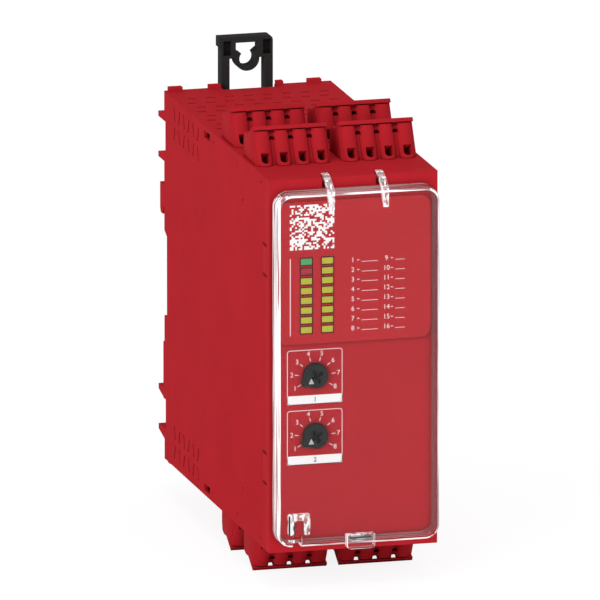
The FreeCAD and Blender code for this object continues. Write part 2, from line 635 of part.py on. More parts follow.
COVER_BACK = FRONT - S.cover_gap
COVER_FACE = FRONT - S.cover_deep
cover_low, cover_high = -TOP + S.cover_base, TOP - S.cover_head
cover = new_body("clear_cover")
shape = pad(cover, "CoverPad",
            sketch(cover, "CoverOutline", "XZ_Plane",
                   [box_loop(-COVER_WIDE / 2, cover_low, COVER_WIDE / 2, cover_high)], -COVER_BACK),
            S.cover_deep - S.cover_gap)
shape = soften(cover, "PartDesign::Fillet", "CoverCorners", shape,
               edge_names(shape.Shape, lambda e: runs_along(e, Y_AXIS)), S.cover_radius)
shape = soften(cover, "PartDesign::Chamfer", "CoverRim", shape,
               edge_names(shape.Shape,
                          lambda e: all(abs(p.Point.y - COVER_FACE.value) < 1e-6 for p in e.Vertexes)),
               S.cover_round)
inset = COVER_WIDE / 2 - S.cover_wall
trim = (S.cover_radius - S.cover_wall) * 0.3
hollow_low, hollow_high = cover_low + S.cover_wall, cover_high - S.cover_wall
reach = S.cover_radius - S.cover_wall
corner_cut = [(-inset, hollow_low + reach), (-inset + trim, hollow_low + trim), (-inset + reach, hollow_low),
              (inset - reach, hollow_low), (inset - trim, hollow_low + trim), (inset, hollow_low + reach),
              (inset, hollow_high - reach), (inset - trim, hollow_high - trim), (inset - reach, hollow_high),
              (-inset + reach, hollow_high), (-inset + trim, hollow_high - trim), (-inset, hollow_high - reach)]
pocket(cover, "CoverHollow", sketch(cover, "CoverHollowOutline", "XZ_Plane", [corner_cut], -COVER_BACK),
       S.cover_deep - S.cover_gap - S.cover_front, back=True)

# hinge arms: ribs on the face that run over the top edge to the hinge pins
arm_profile = [
    (COVER_FACE + 0.6, cover_high - 0.4), (COVER_FACE, cover_high + 0.15),
    (HINGE_Y - 1.8, HINGE_Z + S.knuckle_radius + S.arm_crest),
    (HINGE_Y - S.knuckle_radius / 2, HINGE_Z + S.knuckle_radius * 0.8), (HINGE_Y, HINGE_Z), (HINGE_Y - S.knuckle_radius, HINGE_Z),
    (COVER_FACE + 2.6, cover_high - 0.4),
]
arm = pad(cover, "HingeArm",
          sketch(cover, "ArmProfile", "YZ_Plane", [arm_profile], S.arm_out - S.arm_wide / 2), S.arm_wide)
knuckle = pad(cover, "HingeKnuckle",
              sketch(cover, "KnuckleShape", "YZ_Plane", [], S.arm_out - S.arm_wide / 2,
                     circles=[(HINGE_Y, HINGE_Z, S.knuckle_radius)]), S.arm_wide)
eye = pocket(cover, "HingeEye",
             sketch(cover, "EyeShape", "YZ_Plane", [], S.arm_out - S.arm_wide / 2,
                    circles=[(HINGE_Y, HINGE_Z, S.hinge_pin + S.hinge_fit)]), S.arm_wide, back=True)
mirror(cover, "FarHingeArm", [arm, knuckle, eye], "YZ_Plane")

# sealing lug behind the face, low on the left, and the finger grip under the lower rim
seal_x, seal_z = -HALF + S.seal_left, -TOP + S.seal_base
leg = (S.seal_wide - S.seal_gap) / 2
seal = [(seal_x, seal_z), (seal_x + leg, seal_z), (seal_x + leg, seal_z + S.seal_high - leg),
        (seal_x + leg + S.seal_gap, seal_z + S.seal_high - leg), (seal_x + leg + S.seal_gap, seal_z),
        (seal_x + S.seal_wide, seal_z), (seal_x + S.seal_wide, seal_z + S.seal_high),
        (seal_x, seal_z + S.seal_high)]
pad(cover, "SealLug", sketch(cover, "SealOutline", "XZ_Plane", [seal], -COVER_FACE - S.cover_front),
    S.seal_thick, back=True)
pad(cover, "FingerGrip",
    sketch(cover, "GripOutline", "XZ_Plane",
           [box_loop(S.grip_shift - S.grip_wide / 2, cover_low - S.grip_high,
                     S.grip_shift + S.grip_wide / 2, cover_low + 1.0)],
           -COVER_FACE - S.cover_round), 1.4, back=True)
keep(cover, "clear_cover")


# ---- rail latch -------------------------------------------------------------------------------

STRIP_BACK = -S.strip_deep
STRIP_FRONT = STRIP_BACK - S.strip_thick
catch_top = -(RAIL_EDGE + S.catch_drop)
catch_low = catch_top - S.catch_deep
tooth_front = S.rail_thick + S.latch_gap
latch = new_body("rail_latch")
latch_profile = [
    (STRIP_FRONT, catch_low), (tooth_front + S.catch_thick, catch_low),
    (tooth_front + S.catch_thick, -RAIL_EDGE + S.catch_grip - 0.6),
    (tooth_front + S.catch_thick - 0.5, -RAIL_EDGE + S.catch_grip),
    (tooth_front, -RAIL_EDGE + S.catch_grip), (tooth_front, catch_top), (STRIP_BACK, catch_top),
    (STRIP_BACK, S.latch_root), (S.loop_back, S.latch_root + S.loop_back + S.strip_deep),
    (S.loop_back, TOP + S.loop_high), (S.loop_back - S.loop_thick, TOP + S.loop_high), (S.loop_back - S.loop_thick, TOP - 4),
    (STRIP_FRONT, TOP - 8), (STRIP_FRONT, TOP - 12),
]
latch_pad = pad(latch, "LatchPad", sketch(latch, "LatchProfile", "YZ_Plane", [latch_profile]), S.latch_width,
                both=True)
crown = (TOP + S.loop_high).value


def crown_corner(edge):
    return runs_along(edge, Y_AXIS) and edge.Vertexes[0].Point.x > 0 and \
        abs(edge.Vertexes[0].Point.z - crown) < 1e-6


soften(latch, "PartDesign::Fillet", "CrownCorner", latch_pad, edge_names(latch_pad.Shape, crown_corner),
       S.loop_corner)
pad(latch, "CrownFlange",
    sketch(latch, "CrownFlangeOutline", "XZ_Plane",
           [box_loop(-S.latch_width / 2 - S.flange_wide, TOP + S.loop_high - S.flange_high,
                     -S.latch_width / 2 + S.flange_wide, TOP + S.loop_high)], -S.loop_back), S.loop_thick)
LEG = S.latch_width / 2 - S.leg_wide
pocket(latch, "LegGap",
       sketch(latch, "LegGapOutline", "XZ_Plane",
              [box_loop(-LEG, TOP - S.latch_width, LEG, TOP + S.web_base)], S.latch_width), S.latch_width * 2)
pad(latch, "RingPad",
    sketch(latch, "RingOutline", "XZ_Plane", [], -S.loop_back,
           circles=[(ZERO, TOP + S.ring_high, S.ring_radius)]), S.loop_thick)
pocket(latch, "RingEye",
       sketch(latch, "RingEyeOutline", "XZ_Plane", [], S.latch_width,
              circles=[(ZERO, TOP + S.ring_high, S.eye_radius)]), S.latch_width * 2)
funnel = [(-S.eye_window, TOP + S.eye_top), (-S.eye_window, TOP + S.eye_base + 1.1),
          (-1.7, TOP + S.eye_base), (1.7, TOP + S.eye_base), (S.eye_window, TOP + S.eye_base + 1.1),
          (S.eye_window, TOP + S.eye_top)]
pocket(latch, "RingWindow", sketch(latch, "RingWindowOutline", "XZ_Plane", [funnel], S.latch_width),
       S.latch_width * 2)
pocket_out = S.latch_width / 2 - 0.55
pocket_top = TOP + S.loop_high - S.pocket_drop
dents = [box_loop(-pocket_out, pocket_top - S.pocket_high, -pocket_out + S.pocket_wide, pocket_top),
         box_loop(pocket_out - S.pocket_wide, pocket_top - S.pocket_high, pocket_out, pocket_top)]
pocket(latch, "FacePockets", sketch(latch, "FacePocketOutline", "XZ_Plane", dents, -(S.loop_back - S.loop_thick)),
       S.pocket_deep)
pocket(latch, "SpringWindow",
       sketch(latch, "SpringWindowOutline", "XZ_Plane",
              [box_loop(-(S.spring_radius + S.spring_gap), S.spring_base - 0.5,
                        S.spring_radius + S.spring_gap, S.spring_base + S.spring_long)],
              -STRIP_FRONT + 1), S.strip_thick + 2)
keep(latch, "rail_latch")

# its return spring: a coil between the seat's lower end and the latch's window
wire = S.spring_wire.value
coil_radius = S.spring_radius.value - wire / 2
coil_base = S.spring_base.value + wire / 2
coil_height = S.spring_long.value - wire * 1.5
steps = int(round(S.spring_turns.value * 12))
course = [V(coil_radius * math.cos(math.pi * k / 6), coil_radius * math.sin(math.pi * k / 6),
            coil_height * k / steps) for k in range(steps + 1)]
start = course[0]
section = [start + V(x, 0, z) for x, z in ((-wire / 2, -wire / 2), (wire / 2, -wire / 2), (wire / 2, wire / 2),
                                           (-wire / 2, wire / 2), (-wire / 2, -wire / 2))]
coil = doc.addObject("Part::Feature", "latch_spring")
coil.Shape = Part.makePolygon(course).makePipeShell([Part.makePolygon(section)], True, False, 1)
placed(coil, ZERO, -CHANNEL_DEEP, coil_base)
keep(coil, "latch_spring")


# ---- terminal blocks --------------------------------------------------------------------------

SLANT = math.degrees(math.atan2(S.ridge_run.value, S.face_high.value))
SLANT_TEXT = "atan(Sizes.ridge_run / Sizes.face_high)"


def slanted(item, base_y, base_z, out=None):
    """Lay an attached object along the block's slanted face."""
    item.AttachmentOffset = FreeCAD.Placement(V(0, Len.of(base_y).value, Len.of(base_z).value),
                                              FreeCAD.Rotation(V(-1, 0, 0), SLANT))
    item.setExpression("AttachmentOffset.Base.y", Len.of(base_y).text)
    item.setExpression("AttachmentOffset.Base.z", Len.of(base_z).text)
    item.setExpression("AttachmentOffset.Rotation.Angle", SLANT_TEXT)


BLOCK_HALF = BAY_WIDE / 2 - S.plug_gap
block = new_body("terminal_top_left_front")
block_profile = [
    (ZERO, -S.block_sink), (BLOCK_LONG, -S.block_sink), (BLOCK_LONG, S.back_step),
    (BLOCK_LONG - S.back_bevel, S.back_high), (BLOCK_LONG - S.crest_back, S.crest_low),
    (S.ridge_run + S.ridge_back, S.crest_low), (S.ridge_run, S.ridge_high),
    (S.ridge_run - S.lip_thick, S.ridge_high - S.lip_drop), (S.ridge_run, S.face_high), (ZERO, ZERO),
]
pad(block, "BlockPad", sketch(block, "BlockProfile", "YZ_Plane", [block_profile]), BLOCK_HALF * 2, both=True)
column = block.newObject("PartDesign::AdditivePrism", "PoleColumn")
column.Polygon = 14
column.AttachmentSupport = [(origin_of(block, "XY_Plane"), "")]
column.MapMode = "FlatFace"
bind(column, "Circumradius", S.column_radius)
bind(column, "Height", S.face_high / math.cos(math.radians(SLANT)) + 0.5)
sink = S.column_radius - S.column_out
slanted(column, sink * math.cos(math.radians(SLANT)) - 0.3, -sink * math.sin(math.radians(SLANT)) - 0.5)
first_pole = -POLE_PITCH * 1.5
column.AttachmentOffset = FreeCAD.Placement(
    V(first_pole.value, column.AttachmentOffset.Base.y, column.AttachmentOffset.Base.z),
    column.AttachmentOffset.Rotation)
column.setExpression("AttachmentOffset.Base.x", first_pole.text)
block.Tip = column
doc.recompute()
grid(block, "PoleColumns", [column], "X_Axis", S.pole_count, POLE_PITCH)
ends = [box_loop(BLOCK_HALF * side, -S.block_sink, BLOCK_HALF * side + S.column_radius * side, S.ridge_high + 1)
        for side in (-1, 1)]
pocket(block, "BlockEnds", sketch(block, "BlockEndShape", "XZ_Plane", ends, Len.of(5)), BLOCK_LONG + 6)
pocket(block, "ColumnFoot",
       sketch(block, "FootOutline", "YZ_Plane", [box_loop(-4.0, -6.0, ZERO, S.plug_gap)]),
       BLOCK_HALF * 2 + 2, both=True)


def d_entry(owner, name):
    """Wire entry at the foot of a column: flat on top, rounded below."""
    drawn = empty_sketch(owner, name, "XZ_Plane")
    slanted(drawn, ZERO, S.column_out + 0.3)
    u, r = first_pole, S.entry_width / 2
    mid, high = S.entry_foot + r, S.entry_foot + S.entry_high
    bowl = [(u + r * math.cos(angle), mid + r * math.sin(angle))
            for angle in (math.pi * k / 4 for k in range(4, 9))]
    add_loop(drawn, [(u + r, high), (u - r, high)] + bowl)
    return drawn


entry = pocket(block, "WireEntry", d_entry(block, "WireEntryShape"), S.entry_deep)
grid(block, "WireEntries", [entry], "X_Axis", S.pole_count, POLE_PITCH)
half_slot = S.slot_width / 2
slot_z = S.ridge_high - S.slot_drop
release = pocket(block, "ReleaseSlot",
                 sketch(block, "ReleaseSlotShape", "XZ_Plane",
                        [box_loop(-POLE_PITCH - half_slot, slot_z - S.slot_high / 2,
                                  -POLE_PITCH + half_slot, slot_z + S.slot_high / 2)], S.column_radius),
                 BLOCK_LONG)
grid(block, "ReleaseSlots", [release], "X_Axis", S.pole_count - 1, POLE_PITCH)
test_z = slot_z - S.slot_high - S.test_high
test = pocket(block, "TestSlot",
              sketch(block, "TestSlotShape", "XZ_Plane",
                     [box_loop(-POLE_PITCH - half_slot, test_z - S.slot_high / 2,
                               -POLE_PITCH + half_slot, test_z + S.slot_high / 2)], S.column_radius),
              S.ridge_run + S.ridge_back)
grid(block, "TestSlots", [test], "X_Axis", S.pole_count - 1, POLE_PITCH)
socket_half = S.pin_size / 2 + S.socket_gap
bay_mid_y = S.bay_length / 2 - S.plug_gap
socket = pocket(block, "PinSocket",
                sketch(block, "PinSocketShape", "XY_Plane",
                       [box_loop(first_pole - socket_half, bay_mid_y - socket_half,
                                 first_pole + socket_half, bay_mid_y + socket_half)], -S.block_sink),
                S.pin_rise, back=True)
grid(block, "PinSockets", [socket], "X_Axis", S.pole_count, POLE_PITCH)

# pin header: a strip in the bay floor with one pin for each pole
header = new_body("header_top_left_front")
strip_half = BAY_WIDE / 2 - S.side_wall - S.plug_gap
strip_y = S.header_slot / 2 - S.plug_gap
strip_low = S.bay_floor + S.header_plate
pad(header, "HeaderStrip",
    sketch(header, "HeaderStripShape", "XY_Plane", [box_loop(-strip_half, -strip_y, strip_half, strip_y)],
           -strip_low), strip_low)
pin = pad(header, "HeaderPin",
          sketch(header, "HeaderPinShape", "XY_Plane",
                 [box_loop(first_pole - S.pin_size / 2, -S.pin_size / 2,
                           first_pole + S.pin_size / 2, S.pin_size / 2)], -S.header_plate),
          S.pin_rise + S.header_plate)
grid(header, "HeaderPins", [pin], "X_Axis", S.pole_count, POLE_PITCH)
doc.recompute()
block_shape, header_shape = block.Shape.copy(), header.Shape.copy()


def set_out(item, side, y, z, below):
    """Stand a terminal piece on the upper edge, or turn it over for the lower one."""
    placed(item, BAY_MID * side, y, -z if below else z, Y_AXIS, 180.0 if below else 0.0)


for level, below in (("top", False), ("bottom", True)):
    for side_name, side in (("left", -1), ("right", 1)):
        for tier_name, tier_start in TIERS:
            where = "_%s_%s_%s" % (level, side_name, tier_name)
            if where == "_top_left_front":
                plug, strip = block, header
            else:
                plug = doc.addObject("Part::Feature", "terminal" + where)
                plug.Shape = block_shape
                strip = doc.addObject("Part::Feature", "header" + where)
                strip.Shape = header_shape
            set_out(plug, side, tier_start + S.plug_gap, TOP, below)
            set_out(strip, side, tier_start + S.bay_length / 2, FLOOR, below)
            keep(plug, "terminal" + where)
            keep(strip, "header" + where)


# ---- inside -----------------------------------------------------------------------------------

def solid_box(label, x0, y0, z0, x1, y1, z1):
    made = doc.addObject("Part::Box", label)
    x0, y0, z0, x1, y1, z1 = (Len.of(q) for q in (x0, y0, z0, x1, y1, z1))
    bind(made, "Length", x1 - x0)
    bind(made, "Width", y1 - y0)
    bind(made, "Height", z1 - z0)
    placed(made, x0, y0, z0)
    return keep(made, label)


DISPLAY = FRONT + SWITCH_FRONT + S.switch_deep
display = new_body("display_board")
board_x, board_z = HALF - S.side_wall - 1.0, TOP - S.shell_wall - 1.0
pad(display, "DisplayPad",
    sketch(display, "DisplayOutline", "XZ_Plane", [box_loop(-board_x, -board_z, board_x, board_z)], -DISPLAY),
    S.board_thick, back=True)
led = pad(display, "IndicatorChip",
          sketch(display, "ChipShape", "XZ_Plane",
                 [centred(x, S.lens_top, S.led_size, S.led_size) for x in COLUMNS], -DISPLAY),
          S.led_size / 2)
grid(display, "IndicatorChips", [led], "Z_Axis", S.lens_rows, S.lens_pitch, back=True)
keep(display, "display_board")

board_start = DISPLAY + S.board_thick
board_end = -S.rear_wall - 0.3
for name, side in (("left_board", -1), ("right_board", 1)):
    solid_box(name, BAY_MID * side - S.board_thick / 2, board_start, -S.board_rise,
              BAY_MID * side + S.board_thick / 2, board_end, S.board_rise)
inner_face = BAY_MID - S.board_thick / 2
for k in range(2):
    row = board_start + S.bay_wall * 3 + (S.relay_long + 2) * k
    solid_box("relay_upper_%d" % (k + 1), -inner_face, row, S.board_front / 2,
              -inner_face + S.relay_wide, row + S.relay_long, S.board_front / 2 + S.relay_high)
    solid_box("relay_lower_%d" % (k + 1), inner_face - S.relay_wide, row,
              -S.board_front / 2 - S.relay_high, inner_face, row + S.relay_long, -S.board_front / 2)
    chip_y = board_start + S.relay_long + (S.chip_size + 12) * k
    solid_box("controller_%d" % (k + 1), BAY_MID + S.board_thick / 2, chip_y, -S.chip_size / 2,
              BAY_MID + S.board_thick / 2 + S.chip_thick, chip_y + S.chip_size, S.chip_size / 2)
core_start = board_end - S.core_long - 2
solid_box("transformer", -inner_face, core_start, -S.core_high / 2, -inner_face + S.core_wide,
          core_start + S.core_long, S.core_high / 2)
for name, side in (("capacitor_upper", 1), ("capacitor_lower", -1)):
    can = doc.addObject("Part::Prism", name)
    can.Polygon = 12
    bind(can, "Circumradius", S.can_radius)
    bind(can, "Height", S.can_long)
    placed(can, inner_face, board_end - S.can_radius - 4, (S.core_high / 2 + S.can_radius + 3) * side,
           Y_AXIS, -90.0)
    keep(can, name)


# ---- checks and files -------------------------------------------------------------------------

doc.recompute()
faults = []
for item in doc.Objects:
    if any(word in ("Invalid", "Error") for word in item.State):
        faults.append("%s: %s" % (item.Label, ", ".join(item.State)))
    if item.TypeId in ("PartDesign::Pocket", "PartDesign::Pad") and item.BaseFeature is not None:
        change = item.Shape.Volume - item.BaseFeature.Shape.Volume
        if (item.TypeId.endswith("Pocket") and change > -1e-3) or \
                (item.TypeId.endswith("Pad") and change < 1e-3):
            faults.append("%s changes nothing (%.4f mm3)" % (item.Label, change))
for label, item in PARTS:
    solid = item.Shape
    if solid.isNull() or not solid.isValid() or not solid.Solids:
        faults.append("%s has no valid solid" % label)
if faults:
    raise RuntimeError("; ".join(faults))

os.makedirs("parts", exist_ok=True)
for label, item in PARTS:
    item.Shape.exportStep("parts/%s.step" % label)
    bounds = item.Shape.BoundBox
    print("%-28s solids %d  volume %9.1f  x %7.2f..%6.2f  y %8.2f..%6.2f  z %7.2f..%6.2f" % (
        label, len(item.Shape.Solids), item.Shape.Volume, bounds.XMin, bounds.XMax, bounds.YMin,
        bounds.YMax, bounds.ZMin, bounds.ZMax))
print("%d pieces" % len(PARTS))
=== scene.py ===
import json
import math
import random

import bmesh
import bpy
from bpy.props import FloatProperty, FloatVectorProperty, IntProperty, PointerProperty
from bpy.types import Operator, Panel, PropertyGroup
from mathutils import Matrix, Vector


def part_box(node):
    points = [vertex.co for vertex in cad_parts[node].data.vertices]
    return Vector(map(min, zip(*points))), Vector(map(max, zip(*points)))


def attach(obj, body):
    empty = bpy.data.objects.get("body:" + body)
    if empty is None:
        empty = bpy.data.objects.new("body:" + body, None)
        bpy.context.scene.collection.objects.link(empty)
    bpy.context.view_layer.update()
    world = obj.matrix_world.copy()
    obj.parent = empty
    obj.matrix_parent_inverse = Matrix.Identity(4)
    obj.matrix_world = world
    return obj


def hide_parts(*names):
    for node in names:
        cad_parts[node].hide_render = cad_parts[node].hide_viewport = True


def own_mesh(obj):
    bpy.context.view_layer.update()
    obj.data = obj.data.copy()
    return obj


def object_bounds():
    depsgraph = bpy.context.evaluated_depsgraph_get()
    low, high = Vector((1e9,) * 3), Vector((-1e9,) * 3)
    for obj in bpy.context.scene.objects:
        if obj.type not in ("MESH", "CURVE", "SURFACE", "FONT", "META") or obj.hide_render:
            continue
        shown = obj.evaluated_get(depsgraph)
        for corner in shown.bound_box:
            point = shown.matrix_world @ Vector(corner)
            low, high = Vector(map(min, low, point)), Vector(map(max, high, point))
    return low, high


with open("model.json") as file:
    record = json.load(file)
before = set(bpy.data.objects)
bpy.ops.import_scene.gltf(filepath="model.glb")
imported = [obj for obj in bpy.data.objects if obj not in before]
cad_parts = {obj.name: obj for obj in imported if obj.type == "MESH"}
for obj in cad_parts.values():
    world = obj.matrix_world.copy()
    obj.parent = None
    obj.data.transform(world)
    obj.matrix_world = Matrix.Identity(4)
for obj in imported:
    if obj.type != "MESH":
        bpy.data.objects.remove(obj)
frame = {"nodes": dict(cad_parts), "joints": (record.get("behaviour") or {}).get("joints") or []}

bl_info = {
    "name": "Safety relay dressing",
    "version": (1, 0, 0),
    "blender": (4, 5, 0),
    "location": "3D View > Sidebar > Safety Relay",
    "description": "Finishes, clear cover, printing and knobs for a 45 mm rail mounted safety relay",
    "category": "Object",
}

CAD_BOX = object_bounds()
bpy.ops.object.select_all(action="DESELECT")

MM = 0.001
PANEL_LOW, PANEL_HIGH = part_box("front_panel")
LABEL_LOW, LABEL_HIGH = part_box("label_plate")
COVER_LOW, COVER_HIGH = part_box("clear_cover")
LENS_LOW, LENS_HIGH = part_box("lens_right_row")
KNOB_NODES = {"start_knob": "start_selector", "function_knob": "function_selector"}
FRONT_PANEL_Y = LABEL_HIGH.y      # the face of the front panel, on which the label plate sits
FRONT_Y = LABEL_LOW.y             # the face of the label plate
LENS_ROWS = 8


# ---- helpers: colour and nodes ----

def linear(code):
    """The linear RGBA of an sRGB hex colour such as B0242C."""
    parts = [int(code[i:i + 2], 16) / 255 for i in (0, 2, 4)]
    return tuple(c / 12.92 if c <= 0.04045 else ((c + 0.055) / 1.055) ** 2.4 for c in parts) + (1.0,)


def opaque(tint):
    """A colour setting as the RGBA that a node takes."""
    return (*tint[:3], 1.0)


def add(tree, kind, inputs=None, **settings):
    """Adds a shader node with its settings, and feeds each input from a value or from a socket."""
    made = tree.nodes.new("ShaderNode" + kind)
    for name, value in settings.items():
        setattr(made, name, value)
    for key, value in (inputs or {}).items():
        if isinstance(value, bpy.types.NodeSocket):
            tree.links.new(value, made.inputs[key])
        else:
            made.inputs[key].default_value = value
    return made


def calc(tree, operation, *values):
    """The result of a sum on numbers or sockets."""
    return add(tree, "Math", dict(enumerate(values)), operation=operation).outputs[0]


def remap(tree, value, start, end, low, high):
    """The range from start to end of a socket, mapped onto low to high."""
    return add(tree, "MapRange", {"Value": value, "From Min": start, "From Max": end,
                                  "To Min": low, "To Max": high}).outputs["Result"]


def noise(tree, vector, pitch_mm, detail, **inputs):
    """Noise with cells about that many millimetres across."""
    return add(tree, "TexNoise", {"Vector": vector, "Scale": 1 / (pitch_mm * MM),
                                  "Detail": detail, **inputs}).outputs["Fac"]


def mix(tree, share, first, second):
    """A blend of two shader nodes, all of the second one where the share is 1."""
    return add(tree, "MixShader", {0: share, 1: first.outputs[0], 2: second.outputs[0]})


def any_ray(tree, *kinds):
    """1 for rays of these kinds, such as Camera or Shadow, and 0 for all others."""
    path = add(tree, "LightPath")
    found = path.outputs[f"Is {kinds[0]} Ray"]
    for kind in kinds[1:]:
        found = calc(tree, "MAXIMUM", found, path.outputs[f"Is {kind} Ray"])
    return found


def object_place(tree):
    return add(tree, "TexCoord").outputs["Object"]


def blank(name):
    """A new material with an empty node tree."""
    made = bpy.data.materials.new(name)
    made.use_nodes = True
    made.node_tree.nodes.clear()
    return made, made.node_tree


def surfaced(made, shader):
    """The material with this shader node as its surface."""
    add(made.node_tree, "OutputMaterial", {"Surface": shader.outputs[0]})
    return made


def finish_with(piece, material):
    """Gives every material slot of the piece this material."""
    if not piece.data.materials:
        piece.data.materials.append(material)
    for i in range(len(piece.data.materials)):
        piece.data.materials[i] = material


# ---- helpers: modelling ----

def object_mode():
    bpy.ops.object.mode_set(mode="OBJECT")


def rest_selection():
    """Back to object mode, whatever was open, with nothing selected."""
    if bpy.context.object and bpy.context.object.mode != "OBJECT":
        object_mode()
    bpy.ops.object.select_all(action="DESELECT")


def only(piece):
    """Selects this piece alone and makes it the active one."""
    rest_selection()
    piece.select_set(True)
    bpy.context.view_layer.objects.active = piece


def edit(piece):
    """Opens this piece alone in edit mode."""
    only(piece)
    bpy.ops.object.mode_set(mode="EDIT")


def set_place(piece):
    """Puts the object's place, turn and scale into its mesh."""
    only(piece)
    bpy.ops.object.transform_apply(location=True, rotation=True, scale=True)


def name_piece(name):
    """Names the primitive that was just added and puts its place and size into its mesh."""
    piece = bpy.context.object
    piece.name = piece.data.name = name
    set_place(piece)
    return piece


def block(name, low, high):
    """A cube primitive that fills the box between two corners, left open in edit mode."""
    rest_selection()
    low, high = Vector(low), Vector(high)
    bpy.ops.mesh.primitive_cube_add(size=1, location=(low + high) / 2, scale=high - low)
    piece = name_piece(name)
    edit(piece)
    return piece


def disc(name, centre, radius, depth, sides):
    """A cylinder primitive along Y whose front face is at centre, left open in edit mode."""
    rest_selection()
    bpy.ops.mesh.primitive_cylinder_add(vertices=sides, radius=radius, depth=depth,
                                        location=Vector(centre) + Vector((0, depth / 2, 0)),
                                        rotation=(math.radians(90), 0, 0))
    piece = name_piece(name)
    edit(piece)
    return piece


def choose(kind, test):
    """In edit mode, selects the corners, edges or faces that pass the test, and nothing else."""
    bpy.ops.mesh.select_mode(type=kind)
    bpy.ops.mesh.select_all(action="DESELECT")
    mesh = bmesh.from_edit_mesh(bpy.context.object.data)
    for part in {"VERT": mesh.verts, "EDGE": mesh.edges, "FACE": mesh.faces}[kind]:
        if test(part):
            part.select_set(True)
    mesh.select_flush_mode()
    bmesh.update_edit_mesh(bpy.context.object.data)


def choose_all():
    bpy.ops.mesh.select_all(action="SELECT")


def runs(edge, axis):
    """True if the edge runs along that axis, 0 for X, 1 for Y and 2 for Z."""
    step = edge.verts[1].co - edge.verts[0].co
    return step.length > 1e-7 and abs(step[axis]) > 0.999 * step.length


def faces_way(face, axis, sign):
    return face.normal[axis] * sign > 0.999


def middle(part):
    return sum((v.co for v in part.verts), Vector()) / len(part.verts)


def bevel(width, segments):
    bpy.ops.mesh.bevel(offset=width, segments=segments, profile=0.5, affect="EDGES",
                       clamp_overlap=True)


def pull(x=0.0, y=0.0, z=0.0):
    """Extrudes what is selected by that much."""
    bpy.ops.mesh.extrude_region_move(TRANSFORM_OT_translate={"value": (x, y, z)})


def turn_all(angle, axis, centre):
    """In edit mode, turns the whole piece about a centre."""
    choose_all()
    bpy.ops.transform.rotate(value=angle, orient_axis=axis, center_override=centre)


def face_outwards():
    """In edit mode, turns every face outwards."""
    choose_all()
    bpy.ops.mesh.normals_make_consistent(inside=False)


def paint(piece, slot, test=None):
    """In edit mode, gives a material slot to the faces that pass the test, or to the selected ones."""
    if test:
        choose("FACE", test)
    piece.active_material_index = slot
    bpy.ops.object.material_slot_assign()


def modify(piece, kind, **settings):
    """Leaves edit mode, adds a modifier with its settings and applies it."""
    only(piece)
    made = piece.modifiers.new(kind.title(), kind)
    for name, value in settings.items():
        setattr(made, name, value)
    bpy.ops.object.modifier_apply(modifier=made.name)


def combine(piece, tool, operation):
    """Cuts the tool away with DIFFERENCE or merges it in with UNION, then removes the tool."""
    modify(piece, "BOOLEAN", object=tool, operation=operation, solver="EXACT")
    bpy.data.objects.remove(tool)


def close_piece(piece, body, material=None, angle=35.0):
    """Smooths a finished piece, gives it its material and sets it on its body."""
    only(piece)
    bpy.ops.object.shade_smooth_by_angle(angle=math.radians(angle))
    if material:
        finish_with(piece, material)
    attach(piece, body)
    rest_selection()


def second_finish(piece, material, test):
    """Gives the faces that pass the test another material than the rest of the piece."""
    piece.data.materials.append(material)
    edit(piece)
    paint(piece, 1, test)
    rest_selection()


def joined(name, pieces):
    """Joins pieces into the first one and names it."""
    only(pieces[0])
    for piece in pieces:
        piece.select_set(True)
    bpy.ops.object.join()
    pieces[0].name = pieces[0].data.name = name
    return pieces[0]


def twin(piece, name, shift, turned=False):
    """A copy with its own mesh, turned over about Y if asked, then moved."""
    made = piece.copy()
    made.data = piece.data.copy()
    made.name = made.data.name = name
    bpy.context.collection.objects.link(made)
    if turned:
        made.rotation_euler = (0, math.pi, 0)
    made.location = shift
    set_place(made)
    return made


def outline_prism(name, points, low_x, high_x):
    """Draws a closed outline in the YZ plane corner by corner and extrudes it along X."""
    rest_selection()
    bpy.ops.mesh.primitive_plane_add(size=1 * MM, location=(low_x, *points[0]))
    piece = name_piece(name)
    edit(piece)
    choose_all()
    bpy.ops.mesh.merge(type="CENTER")
    for before, after in zip(points, points[1:]):
        bpy.ops.mesh.extrude_vertices_move(
            TRANSFORM_OT_translate={"value": (0, after[0] - before[0], after[1] - before[1])})
    choose_all()
    bpy.ops.mesh.edge_face_add()
    pull(x=high_x - low_x)
    face_outwards()
    object_mode()
    return piece


def knob_centre(body):
    """The point on the selector's axis, from its joint."""
    return Vector(next(j["pos_m"] for j in frame["joints"] if j["child"] == body))


# ---- helpers: printing ----

def number(text, spot, high, y):
    """A printed number centred on a spot of the plane at that y, as a mesh a film thick."""
    rest_selection()
    bpy.ops.object.text_add(location=(0, 0, 0))
    piece = bpy.context.object
    piece.data.body = text
    piece.data.align_x, piece.data.align_y = "CENTER", "CENTER"
    piece.data.size = high
    piece.data.extrude = bpy.context.scene.safety_relay_sizes.print_thick / 2
    piece.data.resolution_u = 3
    piece.data.offset = -0.003 * MM  # draws the strokes a little finer
    bpy.ops.object.convert(target="MESH")
    piece = bpy.context.object
    piece.rotation_euler = (math.radians(90), 0, 0)
    piece.location = (spot.x, y - piece.dimensions.z / 2, spot.z)
    set_place(piece)
    return piece


def plate(name, low, high, corner, y):
    """A printed field between two corners of the plane at that y, its corners rounded."""
    thick = bpy.context.scene.safety_relay_sizes.print_thick
    piece = block(name, (low.x, y - thick, low.z), (high.x, y, high.z))
    if corner:
        choose("EDGE", lambda e: runs(e, 1))
        bevel(corner, 5)
    object_mode()
    return piece


def stroke(start, end, wide, y):
    """A printed line from one point to another on the plane at that y."""
    way = end - start
    reach = Vector((way.length / 2, 0, wide / 2))
    piece = plate("stroke", -reach, reach, 0.0, y)
    piece.rotation_euler = (0, -math.atan2(way.z, way.x), 0)
    piece.location = ((start.x + end.x) / 2, 0, (start.z + end.z) / 2)
    set_place(piece)
    return piece


